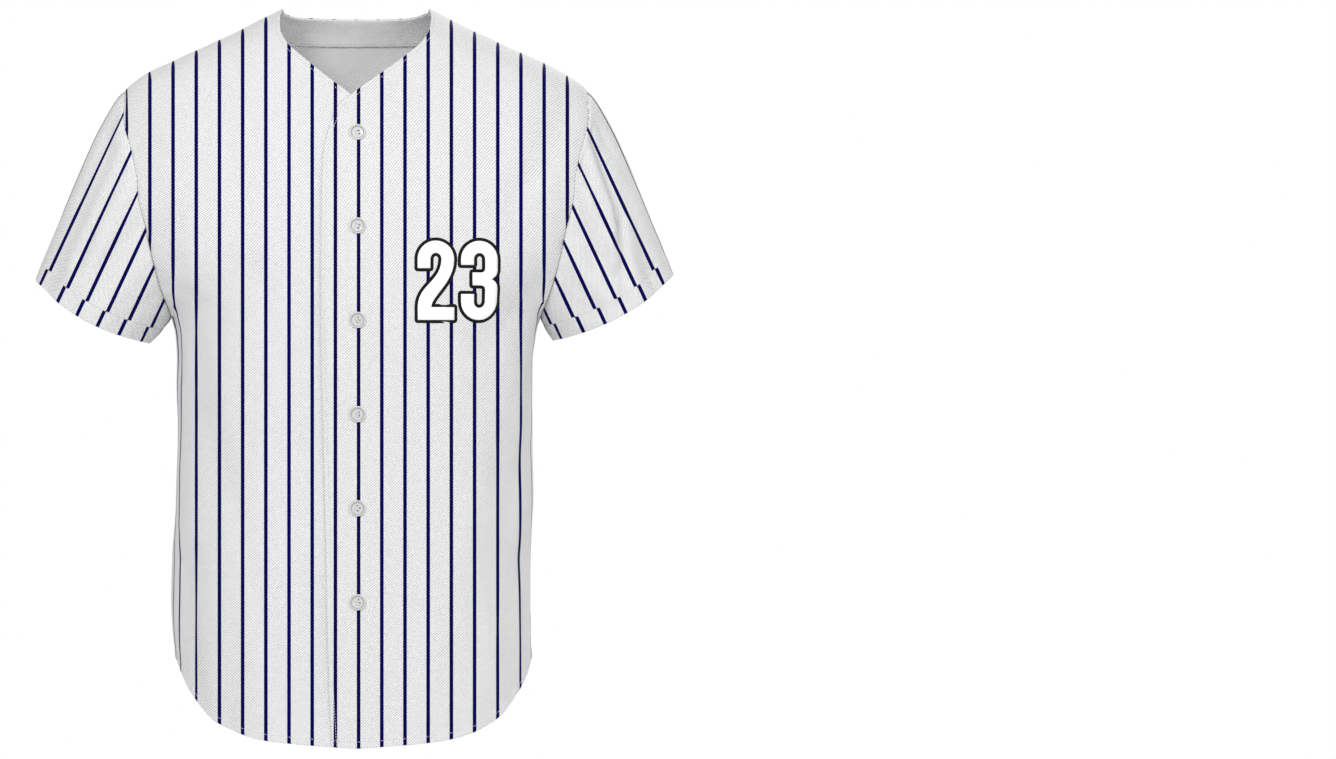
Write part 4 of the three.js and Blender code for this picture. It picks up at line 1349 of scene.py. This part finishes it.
class ClothSettings(bpy.types.PropertyGroup):
    thickness: length("Thickness", "Thickness of the knit", 0.0012)
    stripe_pitch: length("Stripe pitch", "Distance from one pinstripe to the next", STRIPE_STEP * MM)
    stripe_width: length("Stripe width", "Width of a pinstripe", 0.0039)
    stripe_edge: length("Stripe edge", "Softness of a pinstripe's edge", 0.0002)
    stripe_wander: length("Stripe wander", "How far a pinstripe's edge follows the loops", 0.0003)
    stripe_colour: colour("Stripe colour", "Colour of the pinstripes", (0.0, 0.0004, 0.078))
    cloth_colour: colour("Cloth colour", "Colour of the knit", (0.94, 0.94, 0.935))
    cloth_low: colour("Cloth shade", "Duller tone of the knit", (0.905, 0.905, 0.905))
    # Painted shade in the small holes of the knit.
    hole_painted_shade: colour("Mesh shade", "Tone in the small holes of the knit", (0.2, 0.2, 0.21))
    inside_colour: colour("Inside colour", "Colour of the knit's inside", (0.9, 0.89, 0.9))
    facing_low: colour("Facing shade", "Duller tone of the strip inside the neck", (0.8, 0.79, 0.8))
    knit_pitch: length("Knit pitch", "Size of the knit's loops", 0.0031)
    knit_height: length("Knit height", "Relief of the loops", 0.0002)
    # Strength of the painted shade in the knit's holes.
    hole_shade_strength: share("Knit shade", "Strength of the tone in the small holes", 0.7)
    rumple_height: length("Rumple height", "Relief of small soft rumples", 0.0011)
    roughness: share("Roughness", "Roughness of the knit", 0.82)
    sheen: share("Sheen", "Sheen of the knit", 0.01)
    specular: share("Specular", "Specular level of the knit", 0.05)


class StitchSettings(bpy.types.PropertyGroup):
    stitch_length: length("Stitch length", "Length of a stitch", 0.0022)
    stitch_gap: length("Stitch gap", "Gap between stitches", 0.0008)
    thread_diameter: length("Thread diameter", "Thickness of the sewing thread", 0.00055)
    thread_colour: colour("Thread colour", "Colour of the thread", (0.8, 0.8, 0.8))
    thread_low: colour("Thread shade", "Shade between the plies", (0.6, 0.6, 0.61))


class ButtonSettings(bpy.types.PropertyGroup):
    radius: length("Radius", "Radius of a button", 0.0085)
    height: length("Height", "Thickness of a button at its rim", 0.0035)
    rim: length("Rim", "Width of the rounded rim", 0.0019)
    dish: length("Dish", "Depth of the dished centre", 0.0017)
    hole_radius: length("Hole radius", "Radius of the thread holes", 0.00085)
    hole_offset: length("Hole offset", "Distance of a hole from the middle, each way", 0.0018)
    pearl_colour: colour("Pearl colour", "Colour of the buttons", (0.7, 0.7, 0.69))
    pearl_low: colour("Pearl shade", "Darker swirls of the buttons", (0.6, 0.6, 0.6))
    # Painted shade at the foot of the rim, inside the dish.
    dish_foot_painted_shade: colour("Dish colour", "Darker tone at the foot of the rim", (0.09, 0.09, 0.09))
    coat: share("Coat", "Gloss coat of the buttons", 0.3)
    roughness: share("Roughness", "Roughness of the buttons", 0.22)


class NumeralSettings(bpy.types.PropertyGroup):
    film: length("Film", "Thickness of the printed film", 0.00018)
    outline: length("Outline", "Width of the dark outline", 0.0034)
    fill_colour: colour("Fill", "Colour of the numerals", (0.99, 0.99, 0.99))
    fill_worn: colour("Fill shade", "Duller tone of the numerals", (0.97, 0.97, 0.97))
    outline_colour: colour("Outline colour", "Colour of the outline", (0.002, 0.002, 0.0025))
    outline_worn: colour("Outline shade", "Lighter tone of the outline", (0.004, 0.004, 0.005))
    roughness: share("Roughness", "Roughness of the film", 0.5)


class StageSettings(bpy.types.PropertyGroup):
    camera_distance: length("Camera distance", "Camera's distance from the middle plane", VIEW_DISTANCE * MM)
    camera_height: length("Camera height", "Camera's height above the neck-shoulder points", VIEW_Z * MM)
    lens: bpy.props.FloatProperty(name="Lens", description="Focal length in millimetres", default=111.25)
    shift: bpy.props.FloatProperty(name="Shift", description="Sideways shift of the frame", default=0.2335)
    floor_drop: length("Floor", "Depth of the floor below the neck-shoulder points", 1.45)
    floor_radius: length("Floor radius", "Radius of the floor", 2.4)
    floor_colour: colour("Floor colour", "Colour of the floor", (0.86, 0.86, 0.86))
    floor_low: colour("Floor shade", "Duller tone of the floor", (0.83, 0.83, 0.83))
    ambient: amount("Ambient", "Strength of the light from all round", 0.515)
    key_power: amount("Key", "Power of the soft main light in watts", 80)
    fill_power: amount("Fill", "Power of the fill light in watts", 40)
    back_power: amount("Back", "Power of the light behind in watts", 95)


class JerseySettings(bpy.types.PropertyGroup):
    cloth: bpy.props.PointerProperty(type=ClothSettings)
    stitches: bpy.props.PointerProperty(type=StitchSettings)
    buttons: bpy.props.PointerProperty(type=ButtonSettings)
    numerals: bpy.props.PointerProperty(type=NumeralSettings)
    stage: bpy.props.PointerProperty(type=StageSettings)


def placed(made, slot, *nodes):
    """Lets a piece ride on the jersey, and stand for CAD nodes where it replaces them."""
    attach(made, "root")
    if nodes:
        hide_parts(*nodes)
    return made


class JERSEY_OT_fronts(bpy.types.Operator):
    """Makes both fronts, with the wearer's left lapped over the right"""

    bl_idname = "jersey.fronts"
    bl_label = "Fronts"

    def execute(self, context):
        look = settings().cloth
        seams = seam_cuts()
        material = jersey_material()
        for name, side in (("left", LEFT), ("right", RIGHT)):
            cloth = panel_cloth(FRONT, side, seams, look.thickness / MM)
            made = cloth_object(f"{name}_front_cloth", cloth, material)
            placed(made, "jersey_cloth", f"front_{name}")
        return {"FINISHED"}


class JERSEY_OT_back(bpy.types.Operator):
    """Makes the back in one piece"""

    bl_idname = "jersey.back"
    bl_label = "Back"

    def execute(self, context):
        look = settings().cloth
        cloth = panel_cloth(BACK, 0, seam_cuts(), look.thickness / MM)
        made = cloth_object("back_cloth", cloth, jersey_material())
        placed(made, "jersey_cloth", "back")
        return {"FINISHED"}


class JERSEY_OT_sleeves(bpy.types.Operator):
    """Makes both sleeves, with their turned-up hems"""

    bl_idname = "jersey.sleeves"
    bl_label = "Sleeves"

    def execute(self, context):
        look = settings().cloth
        for cuff in CUFFS:
            cloth, _ = sleeve_cloth(cuff, look.thickness / MM)
            made = cloth_object(f"{cuff.name}_sleeve_cloth", cloth, jersey_material())
            placed(made, "jersey_cloth", f"sleeve_{cuff.name}")
        return {"FINISHED"}


def facing_cloth(seams):
    """The strip inside the back neck, on the back's own points, moved in."""
    levels = [shoulder_level(BACK, z) for z in np.linspace(0, FACING_LEVEL_Z, FACING_ROWS)]
    cloth = panel_cloth(BACK, 0, seams, SOLID_CLOTH, levels)
    steps = np.linalg.norm(np.diff(cloth.outer, axis=1), axis=-1)
    walked = np.concatenate([np.zeros((len(levels), 1)), np.cumsum(steps, axis=1)], axis=1)
    inner = cloth.outer - cloth.wall * (SOLID_CLOTH + LAYER_GAP)
    shares = np.linspace(FACING_SIDE_SHARE, 1 - FACING_SIDE_SHARE, FACING_COLUMNS)

    def resampled(values):
        return np.array([
            np.stack([np.interp(shares * w[-1], w, v[:, k]) for k in range(3)], axis=1)
            for w, v in zip(walked, values)
        ])

    outer, wall = resampled(inner), resampled(cloth.wall)
    across = outer[..., 0]
    along = np.array([level.side for level in levels])[:, None] + np.zeros(across.shape)
    thick = np.full(across.shape, FACING_CLOTH)
    return Cloth(outer, wall, thick, across, along, np.ones(across.shape), False)


class JERSEY_OT_facing(bpy.types.Operator):
    """Makes the strip inside the back neck"""

    bl_idname = "jersey.facing"
    bl_label = "Neck facing"

    def execute(self, context):
        made = cloth_object("neck_facing_cloth", facing_cloth(seam_cuts()), facing_material())
        placed(made, "neck_facing", "back_neck_facing")
        return {"FINISHED"}


def edge_line(cloth, across_distance, away):
    """A line on a front at a distance from its neck and placket edge."""
    line, normals = [], []
    for r in range(len(cloth.outer)):
        near = away[r, : len(EDGE_COLUMNS) + 2]
        if near[-1] < across_distance * 1.4:
            continue
        outer, wall = cloth.outer[r], cloth.wall[r]
        line.append([np.interp(across_distance, near, outer[: len(near), k]) for k in range(3)])
        normals.append([np.interp(across_distance, near, wall[: len(near), k]) for k in range(3)])
    return np.array(line), np.array(normals)


def thread_lines():
    """Every row of stitches as a line of points on the cloth, with the cloth's normals there."""
    seams = seam_cuts()
    thickness = settings().cloth.thickness / MM
    lines = {"body_hem_stitches": [], "neck_and_placket_stitches": [], "sleeve_hem_stitches": []}
    hem = [hem_level(BODY_HEM - 1)]
    for face, side in ((FRONT, LEFT), (FRONT, RIGHT), (BACK, 0)):
        row = panel_cloth(face, side, seams, thickness, hem)
        lines["body_hem_stitches"].append((row.outer[0], row.wall[0]))
        cloth = panel_cloth(face, side, seams, thickness)
        if face == BACK:
            turned = Cloth(*[v.swapaxes(0, 1) if hasattr(v, "swapaxes") else v for v in cloth])
            line = edge_line(turned, NECK_STITCH, edge_distance(turned.outer))
        else:
            line = edge_line(cloth, NECK_STITCH, edge_distance(cloth.outer))
            if side == RIGHT:
                seen = line[0][:, 2] > UNDERLAP_STITCH_END_Z
                line = (line[0][seen], line[1][seen])
        lines["neck_and_placket_stitches"].append(line)
    for cuff in CUFFS:
        cloth, _ = sleeve_cloth(cuff, thickness)
        row = len(cloth.outer) - len(SLEEVE_HEM_ROWS) + SLEEVE_HEM_ROWS.index(SLEEVE_HEM - 1)
        ring = np.concatenate([cloth.outer[row], cloth.outer[row][:1]])
        wall = np.concatenate([cloth.wall[row], cloth.wall[row][:1]])
        lines["sleeve_hem_stitches"].append((ring, wall))
    facing = facing_cloth(seams)
    row = len(facing.outer) - 4
    inner = facing.outer[row] - facing.wall[row] * FACING_CLOTH
    lines["neck_facing_stitches"] = [(inner, -facing.wall[row])]
    return lines


def model_stitch(look):
    """One stitch: a short rounded length of thread that dips at both ends."""
    deselect_all()
    bpy.ops.mesh.primitive_cylinder_add(
        vertices=6, radius=look.thread_diameter / 2, depth=look.stitch_length, end_fill_type="TRIFAN"
    )
    made = bpy.context.object
    bpy.ops.object.mode_set(mode="EDIT")
    bpy.ops.mesh.select_all(action="SELECT")
    bpy.ops.transform.rotate(value=math.pi / 2, orient_axis="Y", center_override=(0, 0, 0))
    third = look.stitch_length / 6
    for x in (-2 * third, -third, third, 2 * third):
        bpy.ops.mesh.select_all(action="SELECT")
        bpy.ops.mesh.bisect(plane_co=(x, 0, 0), plane_no=(1, 0, 0))
    bpy.ops.object.mode_set(mode="OBJECT")
    reach = look.stitch_length / 2
    for vertex in made.data.vertices:
        share_out = min(abs(vertex.co.x) / reach, 1)
        round_in = math.sqrt(max(1 - share_out**4, 0.12))
        vertex.co.y *= round_in
        vertex.co.z = vertex.co.z * round_in - look.thread_diameter * 0.55 * share_out**2
    points = np.array([v.co for v in made.data.vertices]) / MM
    faces = [list(p.vertices) for p in made.data.polygons]
    bpy.data.objects.remove(made)
    return points, faces


def stitch_copies(stitch, lines, step, lift):
    """Copies of the stitch along lines on the cloth."""
    shape, faces = stitch
    points, quads = [], []
    for line, normals in lines:
        places, ahead, at, length = walk(line, step)
        up = unit(np.stack([np.interp(at, length, normals[:, k]) for k in range(3)], axis=1))
        side = unit(np.cross(up, ahead))
        up = np.cross(ahead, side)
        for place, x, y, z in zip(places, ahead, side, up):
            base = len(points) * len(shape)
            points.append(place + z * lift + shape[:, :1] * x + shape[:, 1:2] * y + shape[:, 2:] * z)
            quads += [[base + i for i in face] for face in faces]
    return np.concatenate(points), quads


class JERSEY_OT_stitching(bpy.types.Operator):
    """Sews the rows of stitches on the hems, neck, placket and neck facing"""

    bl_idname = "jersey.stitching"
    bl_label = "Stitching"

    def execute(self, context):
        look = settings().stitches
        stitch = model_stitch(look)
        material = thread_material()
        step = (look.stitch_length + look.stitch_gap) / MM
        lift = look.thread_diameter * 0.35 / MM
        for name, lines in thread_lines().items():
            points, faces = stitch_copies(stitch, lines, step, lift)
            mesh = bpy.data.meshes.new(name)
            mesh.from_pydata((points * MM).tolist(), [], faces)
            mesh.shade_smooth()
            made = bpy.data.objects.new(name, mesh)
            context.scene.collection.objects.link(made)
            made.data.materials.append(material)
            placed(made, "neck_facing" if name.startswith("neck_facing") else "jersey_cloth")
        return {"FINISHED"}


def select_top_face(made):
    """Selects the highest face that looks up, in edit mode."""
    work = bmesh.from_edit_mesh(made.data)
    work.faces.ensure_lookup_table()
    for face in work.faces:
        face.select = False
    up = [f for f in work.faces if f.normal.z > 0.9 and len(f.verts) == BUTTON_SIDES]
    top = min(up, key=lambda f: f.calc_center_median().xy.length + f.calc_area())
    top.select = True
    work.select_flush_mode()
    bmesh.update_edit_mesh(made.data)


def model_button(look):
    """A dished button with a rounded rim and four holes, its back at the origin and its face towards +Z."""
    deselect_all()
    bpy.ops.mesh.primitive_cylinder_add(
        vertices=BUTTON_SIDES, radius=look.radius, depth=look.height, location=(0, 0, look.height / 2)
    )
    made = bpy.context.object
    bpy.ops.object.mode_set(mode="EDIT")
    bpy.ops.mesh.select_mode(type="FACE")
    for thickness, drop in ((look.rim, 0), (look.rim * 0.35, look.dish), (look.rim * 0.5, look.dish * 0.12)):
        select_top_face(made)
        bpy.ops.mesh.inset(thickness=thickness)
        bpy.ops.transform.translate(value=(0, 0, -drop))
    bpy.ops.object.mode_set(mode="OBJECT")
    for x, y in ((1, 1), (1, -1), (-1, 1), (-1, -1)):
        drill_hole(made, look, x * look.hole_offset, y * look.hole_offset)
    made.modifiers.new("rounded", "BEVEL")
    made.modifiers["rounded"].width = look.rim * 0.32
    made.modifiers["rounded"].segments = 4
    made.modifiers["rounded"].limit_method = "ANGLE"
    made.modifiers["rounded"].angle_limit = math.radians(40)
    deselect_all()
    made.select_set(True)
    bpy.context.view_layer.objects.active = made
    bpy.ops.object.modifier_apply(modifier="rounded")
    bpy.ops.object.shade_smooth_by_angle(angle=math.radians(45))
    mark_rim_foot_shade(made, look)
    return made


def mark_rim_foot_shade(made, look):
    """Marks the points at the foot of the rim, inside the dish, where the material paints shade."""
    foot = look.radius - 1.35 * look.rim
    deep = made.data.attributes.new("deep", "FLOAT", "POINT")
    for i, vertex in enumerate(made.data.vertices):
        x, y, z = vertex.co
        # The marked ring receives painted shade in the button's material.
        inside = look.height * 0.2 < z < look.height - look.dish * 0.5
        near = 1 - abs(math.hypot(x, y) - foot) / (look.rim * 0.75)
        deep.data[i].value = max(0.0, near) if inside else 0.0


def drill_hole(made, look, x, y):
    deselect_all()
    bpy.ops.mesh.primitive_cylinder_add(
        vertices=HOLE_SIDES, radius=look.hole_radius, depth=4 * look.height, location=(x, y, 0)
    )
    drill = bpy.context.object
    cut = made.modifiers.new("hole", "BOOLEAN")
    cut.operation = "DIFFERENCE"
    cut.solver = "EXACT"
    cut.object = drill
    deselect_all()
    made.select_set(True)
    bpy.context.view_layer.objects.active = made
    bpy.ops.object.modifier_apply(modifier="hole")
    bpy.data.objects.remove(drill)


def button_frames():
    """Where each button lies on the placket: a matrix from its own axes to the jersey's, in metres."""
    frames = []
    for i in range(BUTTON_COUNT):
        z = np.array(BUTTON_TOP_Z - i * BUTTON_PITCH, float)
        seat = section_point(FRONT, angle_at(BUTTON_X, z), z)
        normal = Vector(body_normal(FRONT, seat))
        lift = SOLID_CLOTH + LAYER_GAP + BUTTON_SEAT
        place = (Vector(seat) + normal * lift) * MM
        right = Vector((1, 0, 0))
        up = normal.cross(right).normalized()
        right = up.cross(normal).normalized()
        turn = Matrix((right, up, normal)).transposed().to_4x4()
        frames.append(Matrix.Translation(place) @ turn)
    return frames


def model_button_thread(look, thread):
    """Two bars of thread that run from hole to hole, and their ends in the holes."""
    deselect_all()
    bars = []
    top = look.height - look.dish
    for y in (-look.hole_offset, look.hole_offset):
        bpy.ops.curve.primitive_bezier_curve_add()
        bar = bpy.context.object
        bar.data.bevel_depth = thread * 0.62
        bar.data.bevel_resolution = 3
        bar.data.resolution_u = 8
        bar.data.use_fill_caps = True
        first, last = bar.data.splines[0].bezier_points
        for point, x in zip((first, last), (-look.hole_offset, look.hole_offset)):
            point.handle_left_type = point.handle_right_type = "FREE"
            point.co = (x, y, top - thread * 2)
            point.handle_right = (x, y, top + thread * 1.6)
            point.handle_left = (x, y, top + thread * 1.6)
        bars.append(bar)
    deselect_all()
    for bar in bars:
        bar.select_set(True)
    bpy.context.view_layer.objects.active = bars[0]
    bpy.ops.object.convert(target="MESH")
    bpy.ops.object.join()
    return bpy.context.object


def copied(source, name, matrix, material):
    """A copy of a modelled piece with its own mesh, its place in the mesh and its object at the origin."""
    mesh = source.data.copy()
    mesh.transform(matrix)
    mesh.materials.clear()
    mesh.materials.append(material)
    made = bpy.data.objects.new(name, mesh)
    bpy.context.scene.collection.objects.link(made)
    return made


class JERSEY_OT_buttons(bpy.types.Operator):
    """Makes the six sewn-on buttons of the placket"""

    bl_idname = "jersey.buttons"
    bl_label = "Buttons"

    def execute(self, context):
        look = settings().buttons
        button = model_button(look)
        thread = model_button_thread(look, settings().stitches.thread_diameter)
        pearl, cotton = button_material(), thread_material()
        for i, matrix in enumerate(button_frames()):
            turned = matrix @ Matrix.Rotation(math.radians(THREAD_TURNS[i]), 4, "Z")
            made = copied(button, f"pearl_button_{i + 1}", turned, pearl)
            placed(made, "button", f"button_{i + 1}")
            placed(copied(thread, f"button_thread_{i + 1}", turned, cotton), "jersey_cloth")
        bpy.data.objects.remove(button)
        bpy.data.objects.remove(thread)
        return {"FINISHED"}


def arc(x, z, across, up, from_degrees, to_degrees):
    """Points of part of an ellipse."""
    angles = np.radians(np.linspace(from_degrees, to_degrees, ARC_PARTS + 1))
    return [(x + across * math.cos(a), z + up * math.sin(a)) for a in angles]


def curve(start, out, back, end):
    """Points of a smooth curve between two ends, led by two handles."""
    points = []
    for t in np.linspace(0, 1, CURVE_PARTS + 1):
        shares = ((1 - t) ** 3, 3 * t * (1 - t) ** 2, 3 * t * t * (1 - t), t**3)
        spots = (start, out, back, end)
        points.append(tuple(sum(s * spot[k] for s, spot in zip(shares, spots)) for k in range(2)))
    return points


def digit_two(width, height, stroke):
    """Outline of a narrow two, from its lower left corner."""
    middle = width / 2
    spring = height - middle
    hole = middle - stroke
    tip = spring - 0.72 * stroke
    heel = (1.06 * stroke, stroke)
    return [
        (0, 0),
        (width, 0),
        (width, stroke),
        *curve(heel, (1.1 * stroke, 1.9 * stroke), (width, 2.9 * stroke), (width, spring)),
        *arc(middle, spring, middle, middle, 0, 180)[1:],
        (0, tip),
        (stroke, tip),
        *arc(middle, spring, hole, hole * 1.1, 180, 0),
        *curve((width - stroke, spring), (width - stroke, 3 * stroke), (0, 2.7 * stroke), (0, stroke))[1:],
    ]


def digit_three(width, height, stroke):
    """Outline of a narrow three, from its lower left corner."""
    middle = width / 2
    hole = middle - stroke
    spring, low_spring = height - middle, middle
    tip, low_tip = spring - 0.45 * stroke, low_spring + 0.6 * stroke
    waist = 0.52 * height
    bar_top, bar_low = waist + stroke / 2, waist - stroke / 2
    notch = (width - 0.5 * stroke, waist)
    inner = width - stroke
    bar_end = 0.88 * stroke
    lobe, turn = 0.85 * stroke, 0.42 * stroke
    side, tight, corner = 0.45 * stroke, 0.2 * stroke, 0.1 * stroke
    into_notch = curve(
        (width, waist - lobe), (width, waist - side), (notch[0] + turn, waist - tight), notch
    )
    out_of_notch = curve(
        notch, (notch[0] + turn, waist + tight), (width, waist + side), (width, waist + lobe)
    )
    over_bar = curve(
        (inner, bar_top + turn), (inner, bar_top + corner), (inner - corner, bar_top), (inner - turn, bar_top)
    )
    under_bar = curve(
        (inner - turn, bar_low), (inner - corner, bar_low), (inner, bar_low - corner), (inner, bar_low - turn)
    )
    return [
        *arc(middle, low_spring, middle, middle, 180, 360),
        *into_notch,
        *out_of_notch[1:],
        *arc(middle, spring, middle, middle, 0, 180),
        (0, tip),
        (stroke, tip),
        *arc(middle, spring, hole, hole * 1.1, 180, 0),
        *over_bar,
        (bar_end, bar_top),
        (bar_end, bar_low),
        *under_bar,
        *arc(middle, low_spring, hole, hole * 1.1, 0, -180),
        (stroke, low_tip),
        (0, low_tip),
    ]


def grown(outline, grow):
    """An outline as shapes whose union reaches a distance further out on every side, with rounded corners."""
    shapes = [outline]
    for (ax, az), (bx, bz) in zip(outline, outline[1:] + outline[:1]):
        run = Vector((bx - ax, bz - az))
        if run.length < grow * 0.01:
            continue
        side = Vector((run.y, -run.x)).normalized() * grow
        shapes.append([
            (ax + side.x, az + side.y),
            (bx + side.x, bz + side.y),
            (bx - side.x, bz - side.y),
            (ax - side.x, az - side.y),
        ])
        angles = [2 * math.pi * k / CORNER_SIDES for k in range(CORNER_SIDES)]
        shapes.append([(ax + grow * math.cos(a), az + grow * math.sin(a)) for a in angles])
    return shapes


def digit_mesh(outline, grow):
    """Triangles of a digit as one flat shape, finely divided so that it can follow the cloth."""
    points, faces = [], []
    for shape in grown(outline, grow) if grow else [outline]:
        faces.append(list(range(len(points), len(points) + len(shape))))
        points += shape
    high = np.max(outline, axis=0) + FILL_MARGIN
    across = np.arange(-FILL_MARGIN, high[0], FILL_STEP)
    upright = np.arange(-FILL_MARGIN, high[1], FILL_STEP)
    points += [(x, z) for x in across for z in upright]
    flat = [Vector(p) for p in points]
    places, _, triangles, _, _, _ = delaunay_2d_cdt(flat, [], faces, 1, 1e-4)
    return np.array([tuple(p) for p in places]), [list(t) for t in triangles]


def cloth_surface(face, side, x, z, lift):
    """Places on the outside of a panel, lifted a little off it."""
    theta = angle_at(x, z)
    points = section_point(face, theta, z)
    normal = body_normal(face, points)
    large, fine = surface_out(face, points, np.full(x.shape, FAR_UP))
    out = large + fine + lift
    if face == FRONT:
        out = out + layer_raise(side, points)
    return points + out[..., None] * normal


def numeral_object(name, numeral, grow, lift, thickness, material):
    """Both digits as one thin film that lies on the cloth."""
    points, faces = [], []
    base = 0
    for place, digit in enumerate((digit_two, digit_three)):
        flat, triangles = digit_mesh(digit(numeral.width, numeral.height, numeral.stroke), grow)
        start = place * (numeral.width + numeral.gap)
        x = numeral.left - numeral.face * (flat[:, 0] + start)
        z = flat[:, 1] + numeral.top - numeral.height
        points.append(cloth_surface(numeral.face, LEFT, x, z, lift))
        faces += [[base + i for i in t] for t in triangles]
        base += len(flat)
    mesh = bpy.data.meshes.new(name)
    mesh.from_pydata((np.concatenate(points) * MM).tolist(), [], faces)
    work = bmesh.new()
    work.from_mesh(mesh)
    bmesh.ops.delete(work, geom=[v for v in work.verts if not v.link_faces], context="VERTS")
    bmesh.ops.recalc_face_normals(work, faces=work.faces)
    if sum(f.normal.y for f in work.faces) * numeral.face < 0:
        bmesh.ops.reverse_faces(work, faces=work.faces)
    work.to_mesh(mesh)
    work.free()
    mesh.shade_smooth()
    made = bpy.data.objects.new(name, mesh)
    bpy.context.scene.collection.objects.link(made)
    wall = made.modifiers.new("film", "SOLIDIFY")
    wall.thickness = thickness
    wall.offset = -1
    deselect_all()
    made.select_set(True)
    bpy.context.view_layer.objects.active = made
    bpy.ops.object.modifier_apply(modifier="film")
    made.data.materials.append(material)
    return made


class JERSEY_OT_numerals(bpy.types.Operator):
    """Prints plain numerals on the left breast and the back"""

    bl_idname = "jersey.numerals"
    bl_label = "Numerals"

    def execute(self, context):
        look = settings().numerals
        fill = print_material("numeral_white_film", look.fill_colour, look.fill_worn)
        dark = print_material("numeral_dark_film", look.outline_colour, look.outline_worn)
        film = look.film / MM
        for numeral in NUMERALS:
            where = "front" if numeral.face == FRONT else "back"
            layers = (
                (f"{where}_numeral_outline", look.outline / MM, film, dark),
                (f"{where}_numeral", 0, FILL_FILMS * film, fill),
            )
            for name, grow, lift, material in layers:
                made = numeral_object(name, numeral, grow, lift, look.film, material)
                placed(made, "jersey_cloth")
        return {"FINISHED"}


LIGHTS = (
    ("key_light", (-1.4, -3.2, 1.9), 1.5, "key_power"),
    ("fill_light", (2.4, -3.0, 0.5), 2.4, "fill_power"),
    ("back_light", (1.5, 3.3, 1.7), 1.8, "back_power"),
)


class JERSEY_OT_stage(bpy.types.Operator):
    """Sets up the floor, the soft lights and the camera"""

    bl_idname = "jersey.stage"
    bl_label = "Stage"

    def execute(self, context):
        look = settings().stage
        deselect_all()
        bpy.ops.mesh.primitive_circle_add(
            vertices=96, radius=look.floor_radius, fill_type="NGON", location=(0, 0, -look.floor_drop)
        )
        floor = context.object
        floor.name = "floor"
        floor.data.materials.append(floor_material())
        aim = Vector((0, 0, look.camera_height))
        for name, place, size, power in LIGHTS:
            light = bpy.data.lights.new(name, "AREA")
            light.shape = "DISK"
            light.size = size
            light.energy = getattr(look, power)
            lamp = bpy.data.objects.new(name, light)
            lamp.location = place
            lamp.rotation_euler = (aim - Vector(place)).to_track_quat("-Z", "Y").to_euler()
            context.scene.collection.objects.link(lamp)
        surround_with_light(context.scene, look.ambient)
        camera = bpy.data.cameras.new("camera")
        camera.lens = look.lens
        camera.sensor_width = 36
        camera.shift_x = look.shift
        seen = bpy.data.objects.new("camera", camera)
        seen.location = (0, -look.camera_distance, look.camera_height)
        seen.rotation_euler = (math.pi / 2, 0, 0)
        context.scene.collection.objects.link(seen)
        context.scene.camera = seen
        context.scene.view_settings.view_transform = "Standard"
        return {"FINISHED"}


def surround_with_light(scene, strength):
    """A white studio surround: it is pure white to look at and softer as a light."""
    world = bpy.data.worlds.new("studio")
    world.use_nodes = True
    tree = world.node_tree
    soft = tree.nodes["Background"]
    soft.inputs["Color"].default_value = (1, 1, 1, 1)
    soft.inputs["Strength"].default_value = strength
    plain = tree.nodes.new("ShaderNodeBackground")
    plain.inputs["Strength"].default_value = 1.0
    plain.inputs["Color"].default_value = (1, 1, 1, 1)
    path = tree.nodes.new("ShaderNodeLightPath")
    chosen = tree.nodes.new("ShaderNodeMixShader")
    tree.links.new(path.outputs["Is Camera Ray"], chosen.inputs[0])
    tree.links.new(soft.outputs[0], chosen.inputs[1])
    tree.links.new(plain.outputs[0], chosen.inputs[2])
    tree.links.new(chosen.outputs[0], tree.nodes["World Output"].inputs["Surface"])
    scene.world = world


OPERATORS = (
    JERSEY_OT_fronts,
    JERSEY_OT_back,
    JERSEY_OT_sleeves,
    JERSEY_OT_facing,
    JERSEY_OT_stitching,
    JERSEY_OT_buttons,
    JERSEY_OT_numerals,
    JERSEY_OT_stage,
)


class JERSEY_PT_panel(bpy.types.Panel):
    """Lists the jersey's pieces in the 3D view's sidebar"""

    bl_label = "Baseball jersey"
    bl_idname = "JERSEY_PT_panel"
    bl_space_type = "VIEW_3D"
    bl_region_type = "UI"
    bl_category = "Jersey"

    def draw(self, context):
        for operator in OPERATORS:
            self.layout.operator(operator.bl_idname)


CLASSES = (
    ClothSettings,
    StitchSettings,
    ButtonSettings,
    NumeralSettings,
    StageSettings,
    JerseySettings,
    *OPERATORS,
    JERSEY_PT_panel,
)


def register():
    for each in CLASSES:
        bpy.utils.register_class(each)
    bpy.types.Scene.jersey = bpy.props.PointerProperty(type=JerseySettings)


def unregister():
    del bpy.types.Scene.jersey
    for each in reversed(CLASSES):
        bpy.utils.unregister_class(each)


def main():
    register()
    deselect_all()
    bpy.ops.jersey.fronts()
    bpy.ops.jersey.back()
    bpy.ops.jersey.sleeves()
    bpy.ops.jersey.facing()
    bpy.ops.jersey.stitching()
    bpy.ops.jersey.buttons()
    bpy.ops.jersey.numerals()
    bpy.ops.jersey.stage()


if __name__ == "__main__":
    main()
